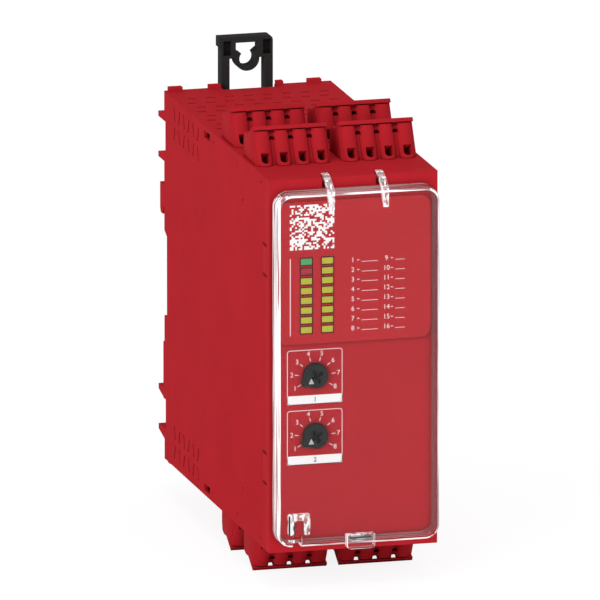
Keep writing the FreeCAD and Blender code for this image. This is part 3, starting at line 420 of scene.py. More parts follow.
def outline(low, high, wide, corner, y):
    """A printed frame with rounded corners: a field with its middle taken out."""
    piece = plate("outline", low, high, corner, y)
    edit(piece)
    choose("FACE", lambda f: abs(f.normal.y) > 0.9)
    bpy.ops.mesh.inset(thickness=wide, use_even_offset=True)
    bpy.ops.mesh.bridge_edge_loops()
    object_mode()
    return piece


# ---- materials ----

def snap_gaps(tree, spot, up):
    """Shade in the gaps at both ends of the front's snap tongues, as a factor of the tone: flat
    ovals on the sides, 5 mm long and 1.1 mm high, 4 mm above and below each tongue's middle."""
    tongue_mid, tongue_half, gap_y = 27.6 * MM, 4.0 * MM, -102.2 * MM
    half_long, half_high = 2.5 * MM, 0.55 * MM
    off = calc(tree, "ABSOLUTE", calc(tree, "SUBTRACT", up, tongue_mid))
    off = calc(tree, "SUBTRACT", off, tongue_half)
    oval = add(tree, "CombineXYZ", {"Y": spot.outputs["Y"], "Z": off})
    oval = add(tree, "Mapping", {"Vector": oval.outputs[0],
                                 "Location": (0, -gap_y / half_long, 0),
                                 "Scale": (0, 1 / half_long, 1 / half_high)})
    away = add(tree, "VectorMath", {0: oval.outputs[0]}, operation="LENGTH")
    return remap(tree, away.outputs["Value"], 0.7, 1.1, 0.45, 1.0)


def moulded_polyamide(name, tint, rough=0.5, edge=0.25, reach=1.6, open_at=0.75, case=False):
    """Polyamide injection moulded in a spark-eroded tool: an even, finely grained satin skin,
    with edges that catch the light on a radius of about a quarter millimetre, with a painted highlight along
    them and painted shade in seams and hollows."""
    made, tree = blank(name)
    place = object_place(tree)
    centre = add(tree, "Mapping", {"Vector": place, "Location": (0.0, 0.053, 0.0)}).outputs[0]
    # the tool's erosion grain is near 0.05 mm; it is drawn coarser so that it still shows
    grain = noise(tree, centre, 0.45, 3.0, Roughness=0.6)
    # flow of the melt leaves clouds of slightly different tone about 14 mm across
    cloud = noise(tree, centre, 14, 2.0, Roughness=0.5, Distortion=0.6)
    tone = calc(tree, "MULTIPLY", remap(tree, cloud, 0.3, 0.7, 0.965, 1.035),
                remap(tree, grain, 0.3, 0.7, 0.97, 1.03))
    # painted highlight: edges are drawn lighter where the rounded normal differs from the flat one
    rounded = add(tree, "Bevel", {"Radius": edge * MM}, samples=6).outputs["Normal"]
    flat = add(tree, "NewGeometry").outputs["Normal"]
    agree = add(tree, "VectorMath", {0: rounded, 1: flat}, operation="DOT_PRODUCT")
    edge_highlight_share = remap(tree, agree.outputs["Value"], 0.97, 0.75, 0.0, 0.12)
    darkest = 0.4
    if case:
        spot = add(tree, "SeparateXYZ", {0: place})
        up = calc(tree, "ABSOLUTE", spot.outputs["Z"])
        # the shallow grooves in the top and bottom keep most of the light
        darkest = remap(tree, up, 47.0 * MM, 48.5 * MM, 0.4, 0.8)
        tone = calc(tree, "MULTIPLY", tone, snap_gaps(tree, spot, up))
    # painted shade: darker in seams, vents and the valleys between columns, where less light reaches
    painted_nook_shade = add(tree, "AmbientOcclusion", {"Distance": reach * MM}, samples=8)
    tone = calc(tree, "MULTIPLY", tone, remap(tree, painted_nook_shade.outputs["AO"], 0.25, open_at, darkest, 1.0))
    shade = add(tree, "HueSaturation", {"Color": opaque(tint), "Value": tone})
    # the painted highlight's colour, lighter than the moulding
    painted_highlight_tint = opaque([min(1.0, c * 1.4 + 0.03) for c in tint[:3]])
    lit = add(tree, "Mix", {0: edge_highlight_share, 6: shade.outputs["Color"], 7: painted_highlight_tint},
              data_type="RGBA")
    relief = add(tree, "Bump", {"Height": grain, "Strength": 0.12, "Distance": 0.03 * MM,
                                "Normal": rounded})
    body = add(tree, "BsdfPrincipled", {
        "Base Color": lit.outputs[2], "Roughness": remap(tree, grain, 0.25, 0.75, rough - 0.06, rough + 0.07),
        "Normal": relief.outputs["Normal"], "IOR": 1.53, "Specular IOR Level": 0.002})
    return surfaced(made, body)


def clear_polycarbonate(name, painted_white_share, gloss, stretch=(1.0, 1.0, 0.04)):
    """Polycarbonate injection moulded in a mirror-finish tool: a thin clear wall that mirrors a little,
    more at its edges, and lets the rest straight through. Thick sections get painted highlights:
    glowing streaks of white where light would run inside the wall and leave at its end."""
    made, tree = blank(name)
    place = object_place(tree)
    # sink and flow ripples of the melt, about 9 mm apart and a few microns deep
    wave = add(tree, "Bump", {"Height": noise(tree, place, 9, 1.0), "Strength": 0.15,
                              "Distance": 0.02 * MM}).outputs["Normal"]
    mirror = add(tree, "BsdfPrincipled", {"Base Color": linear("FFFFFF"), "Metallic": 1.0,
                                          "Roughness": 0.04, "Normal": wave})
    through = add(tree, "BsdfTransparent", {"Color": linear("FDFDFD")})
    facing = add(tree, "Fresnel", {"IOR": 1.58, "Normal": wave}).outputs["Fac"]
    seen = mix(tree, calc(tree, "MULTIPLY", facing, gloss), through, mirror)
    if painted_white_share:
        # painted highlight: glowing streaks of light and grey about 1 mm wide, drawn out along the wall by
        # the stretch
        along = add(tree, "Mapping", {"Vector": place, "Scale": stretch})
        streak = noise(tree, along.outputs["Vector"], 1.1, 1.0)
        white = remap(tree, streak, 0.42, 0.52, painted_white_share * 0.12, painted_white_share)
        lit = add(tree, "BsdfPrincipled", {
            "Base Color": linear("F6F6F6"), "Roughness": 0.15, "IOR": 1.58,
            "Emission Color": linear("FFFFFF"), "Emission Strength": 0.25})
        # the painted white lies on the outside of the wall; from within the cover it stays clear
        behind = add(tree, "NewGeometry").outputs["Backfacing"]
        seen = mix(tree, remap(tree, behind, 0.0, 1.0, white, 0.0), seen, lit)
    seen = mix(tree, any_ray(tree, "Shadow", "Diffuse"), seen, through)
    return surfaced(made, seen)


def tinted_lens(name, tint, glow):
    """Light guide of tinted polycarbonate, moulded smooth: deep colour and a soft painted glow, though no
    lamp lights it.
    """
    made, tree = blank(name)
    # prism ribs moulded into the back of the guide, 0.5 mm apart
    ribs = add(tree, "TexWave", {"Vector": object_place(tree), "Scale": 0.314 / MM,
                                 "Distortion": 0.0}, bands_direction="X",
               wave_profile="SIN")
    tone = remap(tree, ribs.outputs["Fac"], 0.0, 1.0, 0.94, 1.04)
    shade = add(tree, "HueSaturation", {"Color": opaque(tint), "Value": tone})
    lens = add(tree, "BsdfPrincipled", {
        "Base Color": shade.outputs["Color"], "Roughness": 0.25, "IOR": 1.58,
        "Specular IOR Level": 0.3, "Emission Color": opaque(tint), "Emission Strength": glow})
    return surfaced(made, lens)


def screen_ink(name, tint):
    """Screen printing ink: an even, matt film a few hundredths of a millimetre thick."""
    made, tree = blank(name)
    # the mesh of the screen leaves a weave of about 0.12 mm, drawn at 0.25 mm
    weave = noise(tree, object_place(tree), 0.25, 1.0)
    tone = remap(tree, weave, 0.0, 1.0, 0.95, 1.02)
    shade = add(tree, "HueSaturation", {"Color": opaque(tint), "Value": tone})
    film = add(tree, "BsdfPrincipled", {"Base Color": shade.outputs["Color"],
                                        "Roughness": 0.55, "IOR": 1.5,
                                        "Specular IOR Level": 0.1})
    return surfaced(made, film)


def drawn_metal(name, code):
    """Steel wire or aluminium can, cold drawn: fine lines along its length and a cool grey shine."""
    made, tree = blank(name)
    # drawing lines about 0.1 mm apart, stretched along Z
    lines = add(tree, "Mapping", {"Vector": object_place(tree), "Scale": (10.0, 10.0, 1.0)})
    scratch = noise(tree, lines.outputs["Vector"], 1.0, 2.0)
    metal = add(tree, "BsdfPrincipled", {
        "Base Color": linear(code), "Metallic": 1.0,
        "Roughness": remap(tree, scratch, 0.0, 1.0, 0.22, 0.42)})
    return surfaced(made, metal)


def glass_fibre_board():
    """Epoxy and glass fibre circuit board with green solder resist: woven, glossy, even."""
    made, tree = blank("solder_resist_board")
    # glass cloth of the laminate, threads 0.5 mm apart
    cloth = add(tree, "TexChecker", {"Vector": object_place(tree),
                                     "Scale": 1 / (0.5 * MM), "Color1": linear("1F5A35"),
                                     "Color2": linear("23633B")})
    board = add(tree, "BsdfPrincipled", {"Base Color": cloth.outputs["Color"],
                                         "Roughness": 0.35, "IOR": 1.55})
    return surfaced(made, board)


def pale_floor():
    """Matt paper sweep under soft light: white as seen, and clear from below."""
    made, tree = blank("pale_floor")
    share = calc(tree, "MULTIPLY", any_ray(tree, "Camera", "Glossy", "Transmission"), 0.8)
    matt = add(tree, "BsdfDiffuse", {"Color": linear("EDEDED")})
    white = add(tree, "Emission", {"Color": (1, 1, 1, 1), "Strength": 1.09})
    below = add(tree, "NewGeometry").outputs["Backfacing"]
    sweep = mix(tree, below, mix(tree, share, matt, white), add(tree, "BsdfTransparent"))
    return surfaced(made, sweep)


def plain_studio():
    """A white room that lights the part softly and is plain white to the camera."""
    world = bpy.data.worlds.new("plain_studio")
    world.use_nodes = True
    tree = world.node_tree
    tree.nodes.clear()
    room = add(tree, "Background", {"Color": (0.98, 0.99, 1.0, 1), "Strength": 0.62})
    white = add(tree, "Background", {"Color": (1, 1, 1, 1), "Strength": 1.0})
    both = mix(tree, any_ray(tree, "Camera", "Transmission"), room, white)
    add(tree, "OutputWorld", {"Surface": both.outputs["Shader"]})
    return world


# ---- settings ----

def length(label, about, value):
    return FloatProperty(name=label, description=about, default=value * MM, min=0.0, unit="LENGTH",
                         precision=5)


def colour(label, about, code):
    return FloatVectorProperty(name=label, description=about, default=linear(code)[:3],
                               subtype="COLOR", min=0.0, max=1.0, size=3)


class SafetyRelaySizes(PropertyGroup):
    """Lengths of the pieces that are modelled here, all in metres."""
    cover_inset_low: length("Cover foot", "Height of the cover's lower edge above the panel's", 2.6)
    cover_inset_high: length("Cover head", "Drop of the cover's upper edge below the panel's", 2.9)
    cover_wall: length("Cover wall", "Wall thickness of the clear cover", 0.8)
    cover_corner: length("Cover corner", "Corner radius of the cover seen from the front", 3.8)
    cover_rim: length("Cover rim", "Rounding of the cover's front edge", 0.9)
    arm_wide: length("Arm width", "Width of each hinge arm", 1.65)
    arm_out: length("Arm place", "Middle of each hinge arm from the centre line", 7.2)
    arm_foot: length("Arm foot", "How far each arm runs down the cover's face", 4.0)
    grip_wide: length("Grip width", "Width of the finger grip in the cover's lower edge", 7.4)
    knob_radius: length("Knob radius", "Radius of a selector knob's head", 3.2)
    knob_nose: length("Knob nose", "Reach of a knob's pointer from its middle", 4.3)
    plug_round: length("Plug rounding", "Rounding of a terminal block's moulded edges", 0.3)
    column_radius: length("Column radius", "Radius of the round columns of a terminal block", 2.38)
    plug_deep: length("Plug depth", "Depth of a terminal block from its slanted face's foot", 13.6)
    valley: length("Column valley", "How far the face between two columns lies back", 0.7)
    column_out: length("Column rise", "How far a column stands out of the slanted face", 0.9)
    spring_wire: length("Spring wire", "Thickness of the latch spring's wire", 0.4)
    print_thick: length("Ink thickness", "Height of the printing above its surface", 0.03)
    line_wide: length("Line width", "Width of the printed outlines", 0.17)
    digit_high: length("Digit size", "Type size of the printed numbers", 1.8)
    box_wide: length("Dial box width", "Width of the printed box round a dial", 14.8)
    box_high: length("Dial box height", "Height of the printed box round a dial", 14.5)
    strip_high: length("Strip height", "Height of the white strip at the foot of a dial's box", 2.4)
    window_wide: length("Window width", "Width of an indicator window with its recess", 3.6)
    window_high: length("Window height", "Height of an indicator window with its recess", 2.3)
    field_wide: length("Code field", "Side of the square code field on the label", 11.85)


class SafetyRelayColours(PropertyGroup):
    """Colours of the mouldings, lenses and inks."""
    case: colour("Case", "Colour of the housing's polyamide", "B0222A")
    panel: colour("Front panel", "Colour of the front panel's polyamide", "B2232B")
    label: colour("Label plate", "Colour of the raised label plate", "B6272D")
    plug: colour("Terminal blocks", "Colour of the plug-in terminal blocks", "A92028")
    latch: colour("Latch", "Colour of the rail latch's polyamide", "2D2D2D")
    knob: colour("Knobs", "Colour of the selector knobs", "282929")
    green: colour("Green window", "Tint of the first window on the left", "479A5C")
    red: colour("Red window", "Tint of the second window on the left", "A31C26")
    yellow: colour("Yellow windows", "Tint of all other windows", "B0AB28")
    pale_ink: colour("Dial and list ink", "Colour of the dials, the numbers and the lines", "F6E4E4")
    white_ink: colour("White ink", "Colour of the strips and of the code field", "FBF8F8")
    black_ink: colour("Strip number ink", "Colour of the numbers on the strips", "2A2628")


class SafetyRelayPattern(PropertyGroup):
    """Counts and angles of the printing."""
    spring_turns: IntProperty(name="Spring turns", description="Turns of the latch spring",
                              default=6, min=2, max=20)
    modules: IntProperty(name="Modules", description="Squares along the code field's side",
                         default=25, min=5, max=60)
    seed: IntProperty(name="Seed", description="Start value of the code field's random squares",
                      default=7)
    dial_first: FloatProperty(name="First mark", description="Angle of the dial's first number",
                              default=math.radians(211), subtype="ANGLE")
    dial_pitch: FloatProperty(name="Mark pitch", description="Angle between two dial numbers",
                              default=math.radians(34.6), subtype="ANGLE")
    knob_rest: FloatProperty(name="Knob rest", description="Angle at which the pointers rest",
                             default=math.radians(210), subtype="ANGLE")


# ---- the clear cover ----

def cover_shell(size, low, high, pane, wall, edge):
    """The cover's rounded tray, open to the back, with the slot for a seal's wire cut from its foot."""
    rim = clear_polycarbonate("polycarbonate_rim", 0.9, 0.8, (0.08, 1.0, 1.0))
    inner_wall = clear_polycarbonate("polycarbonate_inner_wall", 0.03, 0.12)
    inner_edge = clear_polycarbonate("polycarbonate_inner_edge", 0.2, 0.6, (0.04, 1.0, 1.0))
    front, half, panel_gap = COVER_LOW.y, COVER_HIGH.x, 0.3 * MM
    shell = block("cover_shell", (-half, front, low), (half, FRONT_PANEL_Y - panel_gap, high))
    # the last four are the inner faces of the first four
    outer = (pane, wall, edge, rim)
    for made in (*outer, pane, inner_wall, inner_edge, inner_edge):
        shell.data.materials.append(made)
    choose("EDGE", lambda e: runs(e, 1))
    bevel(size.cover_corner, 10)
    choose("FACE", lambda f: faces_way(f, 1, 1))
    bpy.ops.mesh.delete(type="FACE")
    paint(shell, 1, lambda f: abs(f.normal.x) > 0.5)
    paint(shell, 2, lambda f: abs(f.normal.z) > 0.8)
    choose("FACE", lambda f: faces_way(f, 1, -1))
    bpy.ops.mesh.region_to_loop()
    bevel(size.cover_rim, 5)
    paint(shell, 2, lambda f: 0.05 < -f.normal.y < 0.95)
    paint(shell, 1, lambda f: 0.05 < -f.normal.y < 0.95 and abs(f.normal.x) > 0.25)
    paint(shell, 3, lambda f: 0.7 < -f.normal.y < 0.95 and abs(f.normal.x) < 0.25)
    modify(shell, "SOLIDIFY", thickness=size.cover_wall, offset=-1.0, use_even_offset=True,
           material_offset=len(outer))

    slot_left, slot_right, slot_top = -17.7 * MM, -15.2 * MM, low + 2.9 * MM
    wire = block("wire_slot", (slot_left, front - 1 * MM, low - 1 * MM),
                 (slot_right, front + 5 * MM, slot_top))
    for made in (pane, wall):
        wire.data.materials.append(made)
    choose_all()
    paint(wire, 1)
    combine(shell, wire, "DIFFERENCE")
    return shell


def hinge_arm(size, high):
    """A wedge on the cover's face that turns back over its edge and rises to the hinge."""
    front, middle_x, half = COVER_LOW.y, size.arm_out, size.arm_wide / 2
    foot = high - size.arm_foot
    arm = block("cover_arm", (middle_x - half, front + 0.3 * MM, high - 0.5 * MM),
                (middle_x + half, front + 2.6 * MM, high + 0.3 * MM))
    choose("FACE", lambda f: faces_way(f, 2, -1))
    pull(z=-size.arm_foot)
    choose("VERT", lambda v: v.co.z < foot)
    bpy.ops.transform.resize(value=(0.8, 0.35, 1), center_override=(middle_x, front, 0))
    choose("FACE", lambda f: faces_way(f, 2, 1))
    for back, rise in ((3.4 * MM, 2.2 * MM), (2.6 * MM, 1.1 * MM)):
        pull(y=back, z=rise)
    choose("EDGE", lambda e: runs(e, 0) and middle(e).z > high + 2.0 * MM)
    bevel(0.4 * MM, 3)
    choose("EDGE", lambda e: abs(e.calc_face_angle(0.0)) > 0.6)
    bevel(0.12 * MM, 2)
    face_outwards()
    object_mode()
    return arm


def sealing_lug(left, foot):
    """An upside-down U in the cover's lower left corner, open towards the edge."""
    wide, tall, front = 5.8 * MM, 5.6 * MM, COVER_LOW.y
    seal = block("cover_seal", (left, front + 1.0 * MM, foot), (left + wide, front + 2.8 * MM, foot + tall))
    gap = block("seal_gap", (left + 1.75 * MM, front, foot - 1 * MM),
                (left + wide - 1.75 * MM, front + 4 * MM, foot + tall - 1.75 * MM))
    combine(seal, gap, "DIFFERENCE")
    modify(seal, "BEVEL", width=0.35 * MM, segments=1, limit_method="ANGLE")
    return seal


def finger_grip(size, low, pane, wall):
    """A tab under the cover's lower edge with a recess above it, drawn in painted shade."""
    # painted shade for the recess above the tab
    shade = moulded_polyamide("polycarbonate_shaded", linear("6F6C6C"), rough=0.3)
    left, front = 0.8 * MM - size.grip_wide / 2, COVER_LOW.y
    tab = block("cover_tab", (left, front + 0.9 * MM, COVER_LOW.z),
                (left + size.grip_wide, front + 3.3 * MM, low + 2.2 * MM))
    for made in (pane, wall, shade):
        tab.data.materials.append(made)
    choose("EDGE", lambda e: runs(e, 1) and middle(e).z < low)
    bevel(0.9 * MM, 5)
    paint(tab, 1, lambda f: abs(f.normal.y) < 0.5)
    choose("FACE", lambda f: faces_way(f, 1, -1))
    bpy.ops.mesh.bisect(plane_co=(0, 0, low + 0.2 * MM), plane_no=(0, 0, 1), threshold=1e-6)
    choose("FACE", lambda f: faces_way(f, 1, -1) and middle(f).z > low)
    bpy.ops.mesh.inset(thickness=0.45 * MM)
    pull(y=1.5 * MM)
    paint(tab, 2)
    modify(tab, "BEVEL", width=0.12 * MM, segments=2, limit_method="ANGLE", material=1)
    return tab


# ---- the terminal block ----

def terminal_pattern(size, low, high):
    """One four-pole block whose slanted face starts at the origin, its wire entries to the front."""
    half, deep = (high.x - low.x) / 2, size.plug_deep
    rise, run, foot, crest = 8.2 * MM, 4.6 * MM, low.z - PANEL_HIGH.z, high.z - PANEL_HIGH.z
    roof, heel = 6.8 * MM, 3.85 * MM
    body = outline_prism("terminal_pattern", [
        (0, foot), (0, 0), (size.valley, 0), (run + size.valley, rise),
        (run - 0.7 * MM, crest - 0.9 * MM), (run, crest), (run + 4.5 * MM, roof),
        (deep - 2.0 * MM, roof), (deep - 0.5 * MM, roof - 0.7 * MM), (deep, heel), (deep, foot)],
        -half, half)
    pitch = (half + 0.1 * MM) / 2
    slant = math.atan2(run, rise)
    poles = [pitch * (i - 1.5) for i in range(4)]
    for x in poles:
        combine(body, pole_column(size, x, half, rise, slant), "UNION")
    for x in poles:
        combine(body, wire_entry(x, slant), "DIFFERENCE")
    # between the poles: a leaning release slot near the top and a test slot below it
    for x in [pitch * (i - 1) for i in range(3)]:
        for z, back, lean in ((rise, deep, 11), (6.35 * MM, 8 * MM, 0)):
            hole = block("slot", (x - 0.75 * MM, -3 * MM, z - 0.4 * MM),
                         (x + 0.75 * MM, back, z + 0.4 * MM))
            turn_all(math.radians(-lean), "X", (x, run, z))
            combine(body, hole, "DIFFERENCE")
    edit(body)
    choose_all()
    bpy.ops.mesh.remove_doubles(threshold=2e-6)
    face_outwards()
    modify(body, "BEVEL", width=size.plug_round, segments=2, limit_method="ANGLE",
           angle_limit=math.radians(50), use_clamp_overlap=True)
    return body


def pole_column(size, x, half, rise, slant):
    """A cylinder leaning back with the slanted face, cut off level with the block's outline."""
    up = Vector((0, math.sin(slant), math.cos(slant)))
    out = Vector((0, -math.cos(slant), math.sin(slant)))
    sink = size.column_radius - size.column_out
    rest_selection()
    bpy.ops.mesh.primitive_cylinder_add(
        vertices=48, radius=size.column_radius, depth=14 * MM, rotation=(-slant, 0, 0),
        location=Vector((x, 0, 0)) + up * 4.2 * MM - out * sink)
    column = name_piece("pole_column")
    edit(column)
    for spot, way in (((0, 0, 0.1 * MM), (0, 0, -1)), ((0, 0, rise + 0.15 * MM), (0, 0, 1)),
                      ((half, 0, 0), (1, 0, 0)), ((-half, 0, 0), (-1, 0, 0))):
        choose_all()
        bpy.ops.mesh.bisect(plane_co=spot, plane_no=way, use_fill=True, clear_outer=True,
                            threshold=1e-6)
    face_outwards()
    object_mode()
    return column


def wire_entry(x, slant):
    """The space of a wire entry, flat on top and round below, square to the slanted face."""
    half, low, high = 1.1 * MM, 0.45 * MM, 3.29 * MM
    entry = block("entry", (x - half, -1.5 * MM, low), (x + half, 7 * MM, high))
    choose("EDGE", lambda e: runs(e, 1) and middle(e).z < 1 * MM)
    bevel(1.08 * MM, 8)
    entry.rotation_euler = (-slant, 0, 0)
    set_place(entry)
    return entry


# ---- the knobs ----

def knob_head(size, node, hub, turn):
    """A round head with a pointer nose and a cross slot, drawn along +X and turned about its axis."""
    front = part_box(node)[0].y
    centre = (hub.x, front, hub.z)
    knob = disc(node + "_head", centre, size.knob_radius, 3.4 * MM, 64)
    choose("EDGE", lambda e: abs(middle(e).y - front) < 1e-6)
    bevel(0.3 * MM, 3)
    nose_half = 2.3 * MM
    nose = block(node + "_nose", (hub.x, front + 0.15 * MM, hub.z - nose_half),
                 (hub.x + size.knob_nose, front + 1.2 * MM, hub.z + nose_half))
    choose("FACE", lambda f: faces_way(f, 0, 1))
    bpy.ops.transform.resize(value=(1, 1, 0.3), center_override=centre)
    choose("EDGE", lambda e: runs(e, 1) and middle(e).x > hub.x + 1 * MM)
    bevel(0.35 * MM, 3)
    turn_all(turn, "Y", centre)
    combine(knob, nose, "UNION")
    long, narrow = 1.9 * MM, 0.45 * MM
    for half_x, half_z in ((long, narrow), (narrow, long)):
        slot = block("slot", (hub.x - half_x, front - 1 * MM, hub.z - half_z),
                     (hub.x + half_x, front + 1.1 * MM, hub.z + half_z))
        turn_all(turn, "Y", centre)
        combine(knob, slot, "DIFFERENCE")
    return knob


def knob_arrow(size, node, hub):
    """The pale three-cornered mark beside the slot, a film thick on each side of the face."""
    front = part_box(node)[0].y
    spot = (hub.x - 1.4 * MM, front - size.print_thick, hub.z - 1.4 * MM)
    arrow = disc(node + "_arrow", spot, 0.95 * MM, size.print_thick * 2, 3)
    choose_all()
    bpy.ops.transform.resize(value=(0.88, 1, 1.05), center_override=(spot[0], front, spot[2]))
    object_mode()
    return arrow


# ---- the printing ----

def dial_print(size, pattern):
    """The numbers, marks and box of each selector's scale, and the white strip at the box's foot."""
    dials, strips = [], []
    for body in KNOB_NODES.values():
        hub = knob_centre(body)
        for i in range(8):
            turn = pattern.dial_first - i * pattern.dial_pitch
            way = Vector((math.cos(turn), 0, math.sin(turn)))
            # the scale is flatter at its top, where the box leaves it less room
            flat = max(0.0, way.z)
            digit, start, end = 6.25 - 0.25 * flat, 4.45 - 0.45 * flat, 5.5 - 0.6 * flat
            dials.append(number(str(i + 1), hub + way * digit * MM, size.digit_high, FRONT_PANEL_Y))
            dials.append(stroke(hub + way * start * MM, hub + way * end * MM, size.line_wide,
                                FRONT_PANEL_Y))
        low = Vector((hub.x - size.box_wide / 2 - 0.1 * MM, 0, hub.z - 7.6 * MM))
        high = low + Vector((size.box_wide, 0, size.box_high))
        dials.append(outline(low, high, size.line_wide, 0.8 * MM, FRONT_PANEL_Y))
        strips.append(plate("strip", low, Vector((high.x, 0, low.z + size.strip_high)), 0.5 * MM,
                            FRONT_PANEL_Y))
    return joined("dial_print", dials), joined("strip_print", strips)


def strip_numbers(size):
    """A plain number on each white strip."""
    drop = Vector((0, 0, 6.4 * MM))
    return joined("tag_print", [
        number(str(i + 1), knob_centre(body) - drop, size.digit_high, FRONT_PANEL_Y - size.print_thick)
        for i, body in enumerate(KNOB_NODES.values())])


def window_heights():
    """The middle height of each row of indicator windows, from the top down."""
    margin = 1.3 * MM
    pitch = (LENS_HIGH.z - LENS_LOW.z - 2 * margin) / (LENS_ROWS - 1)
    return [LENS_HIGH.z - margin - row * pitch for row in range(LENS_ROWS)]


def legend_print(size):
    """The list beside the windows: a number, a dash and a thin write-in line for each, and the rule."""
    legend = []
    for row, z in enumerate(window_heights()):
        text_z, line_z = z - 0.3 * MM, z - 0.8 * MM
        for first, left, end in ((1, -1.1, 6.3), (9, 7.9, 13.5)):
            legend.append(number(str(first + row), Vector(((left + 0.75) * MM, 0, text_z)),
                                 size.digit_high, FRONT_Y))
            for start, stop, z_line, wide in ((left + 1.9, left + 2.5, text_z, 0.18),
                                              (left + 3.1, end, line_z, 0.12)):
                legend.append(stroke(Vector((start * MM, 0, z_line)), Vector((stop * MM, 0, z_line)),
                                     wide * MM, FRONT_Y))
    rule_x, rule_low, rule_high = -17.04 * MM, 8.15 * MM, 28.55 * MM
    legend.append(stroke(Vector((rule_x, 0, rule_low)), Vector((rule_x, 0, rule_high)), 0.2 * MM,
                         FRONT_Y))
    return joined("legend_print", legend)


def window_rims(size):
    """A printed frame of painted shade round each indicator window, standing for the shade of its recess."""
    reach = Vector((size.window_wide / 2, 0, size.window_high / 2))
    rims = []
    for low, high in (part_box("lens_left_row"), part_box("lens_right_row")):
        for z in window_heights():
            spot = Vector(((low.x + high.x) / 2, 0, z))
            rims.append(outline(spot - reach, spot + reach, 0.34 * MM, 0.0, FRONT_Y))
    return joined("window_rims", rims)


def code_field(size, pattern):
    """A square field of random modules, each row's neighbours drawn as one bar."""
    draw = random.Random(pattern.seed)
    step = size.field_wide / pattern.modules
    corner = Vector((-17.15 * MM, 0, 30.8 * MM))
    bars = []
    for row in range(pattern.modules):
        start = None
        for column in range(pattern.modules + 1):
            filled = column < pattern.modules and draw.random() < 0.5
            if filled and start is None:
                start = column
            if not filled and start is not None:
                low, high = Vector((start, 0, row)), Vector((column, 0, row + 1))
                bars.append(plate("module", corner + low * step, corner + high * step, 0.0, FRONT_Y))
                start = None
    return joined("code_print", bars)


# ---- operators ----

class RELAY_OT_moulded_parts(Operator):
    """Gives the housing, front, label plate and inner parts their finishes"""
    bl_idname = "safety_relay.moulded_parts"
    bl_label = "Finish Moulded Parts"

    def execute(self, context):
        tints = context.scene.safety_relay_colours
        board = glass_fibre_board()
        black = moulded_polyamide("polybutylene_black", linear("2B2C2E"))
        # the first start that a node's name has decides; the housing takes what is left
        finishes = {
            # the front panel's painted shade reaches 2 mm, so that it also draws a painted shadow under the
            # label plate's edge
            "front_panel": moulded_polyamide("polyamide_red_panel", tints.panel, rough=0.42, reach=2.0,
                                             open_at=0.97, case=True),
            "label_plate": moulded_polyamide("polyamide_red_label", tints.label, rough=0.4, edge=0.15),
            "rail_latch": moulded_polyamide("polyamide_black", tints.latch, rough=0.42),
            "relay_": moulded_polyamide("relay_case_white", linear("D9D8D2"), rough=0.4),
            "transformer": moulded_polyamide("ferrite_grey", linear("3C3D3F"), rough=0.6),
            "capacitor": drawn_metal("aluminium_can", "C9CBCD"),
            "header": black, "controller": black, "start_switch": black, "function_switch": black,
            "display_board": board, "left_board": board, "right_board": board,
            "": moulded_polyamide("polyamide_red", tints.case, case=True)}
        for name, node in frame["nodes"].items():
            finish_with(node, next(made for start, made in finishes.items() if name.startswith(start)))
        return {"FINISHED"}


class RELAY_OT_lenses(Operator):
    """Gives the indicator windows their tints"""
    bl_idname = "safety_relay.lenses"
    bl_label = "Finish Indicator Windows"

    def execute(self, context):
        tints = context.scene.safety_relay_colours
        # the last number of each is the window's painted glow
        for node, name, tint, glow in (("lens_power", "lens_green", tints.green, 0.06),
                                       ("lens_error", "lens_red", tints.red, 0.02),
                                       ("lens_left_row", "lens_yellow", tints.yellow, 0.08),
                                       ("lens_right_row", "lens_yellow_right", tints.yellow, 0.08)):
            finish_with(frame["nodes"][node], tinted_lens(name, tint, glow))
        return {"FINISHED"}


class RELAY_OT_cover(Operator):
    """Models the clear hinged cover with its arms, sealing lug and finger grip"""
    bl_idname = "safety_relay.cover"
    bl_label = "Model Clear Cover"

    def execute(self, context):
        size = context.scene.safety_relay_sizes
        pane = clear_polycarbonate("polycarbonate_pane", 0.0, 0.22)
        wall = clear_polycarbonate("polycarbonate_wall", 0.9, 0.8)
        stem = clear_polycarbonate("polycarbonate_arm", 0.8, 0.8, (1.0, 0.5, 0.5))
        # painted shade for the sealing lug's clear legs and for the window frames
        painted_shade_finish = moulded_polyamide("polycarbonate_dark", linear("2C2829"), rough=0.3)
        edge = clear_polycarbonate("polycarbonate_edge", 0.24, 0.3, (0.04, 1.0, 1.0))
        low, high = PANEL_LOW.z + size.cover_inset_low, PANEL_HIGH.z - size.cover_inset_high
        left, foot = PANEL_LOW.x + 4.0 * MM, PANEL_LOW.z + 5.5 * MM
        shell = cover_shell(size, low, high, pane, wall, edge)
        arm = hinge_arm(size, high)
        far = twin(arm, "cover_arm_far", (-2 * size.arm_out, 0, 0))
        seal = sealing_lug(left, foot)
        tab = finger_grip(size, low, pane, wall)
        for piece in (shell, tab):
            close_piece(piece, "cover", angle=40)
        for piece in (arm, far):
            close_piece(piece, "cover", stem, 40)
            second_finish(piece, edge, lambda f: abs(f.normal.x) < 0.05
                          and f.calc_area() > 1.0 * MM * MM and middle(f).z > high)
        close_piece(seal, "cover", stem, 40)
        # painted shade on the legs' sides, and on the chamfers at the foot of the left leg
        second_finish(seal, painted_shade_finish, lambda f: abs(f.normal.x) > 0.9
                      and abs(middle(f).x - left - 2.9 * MM) < 2 * MM
                      or 0.5 < abs(f.normal.x) < 0.9
                      and middle(f).x < left + 2 * MM and middle(f).z < foot + 3 * MM)
        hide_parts("clear_cover")
        return {"FINISHED"}


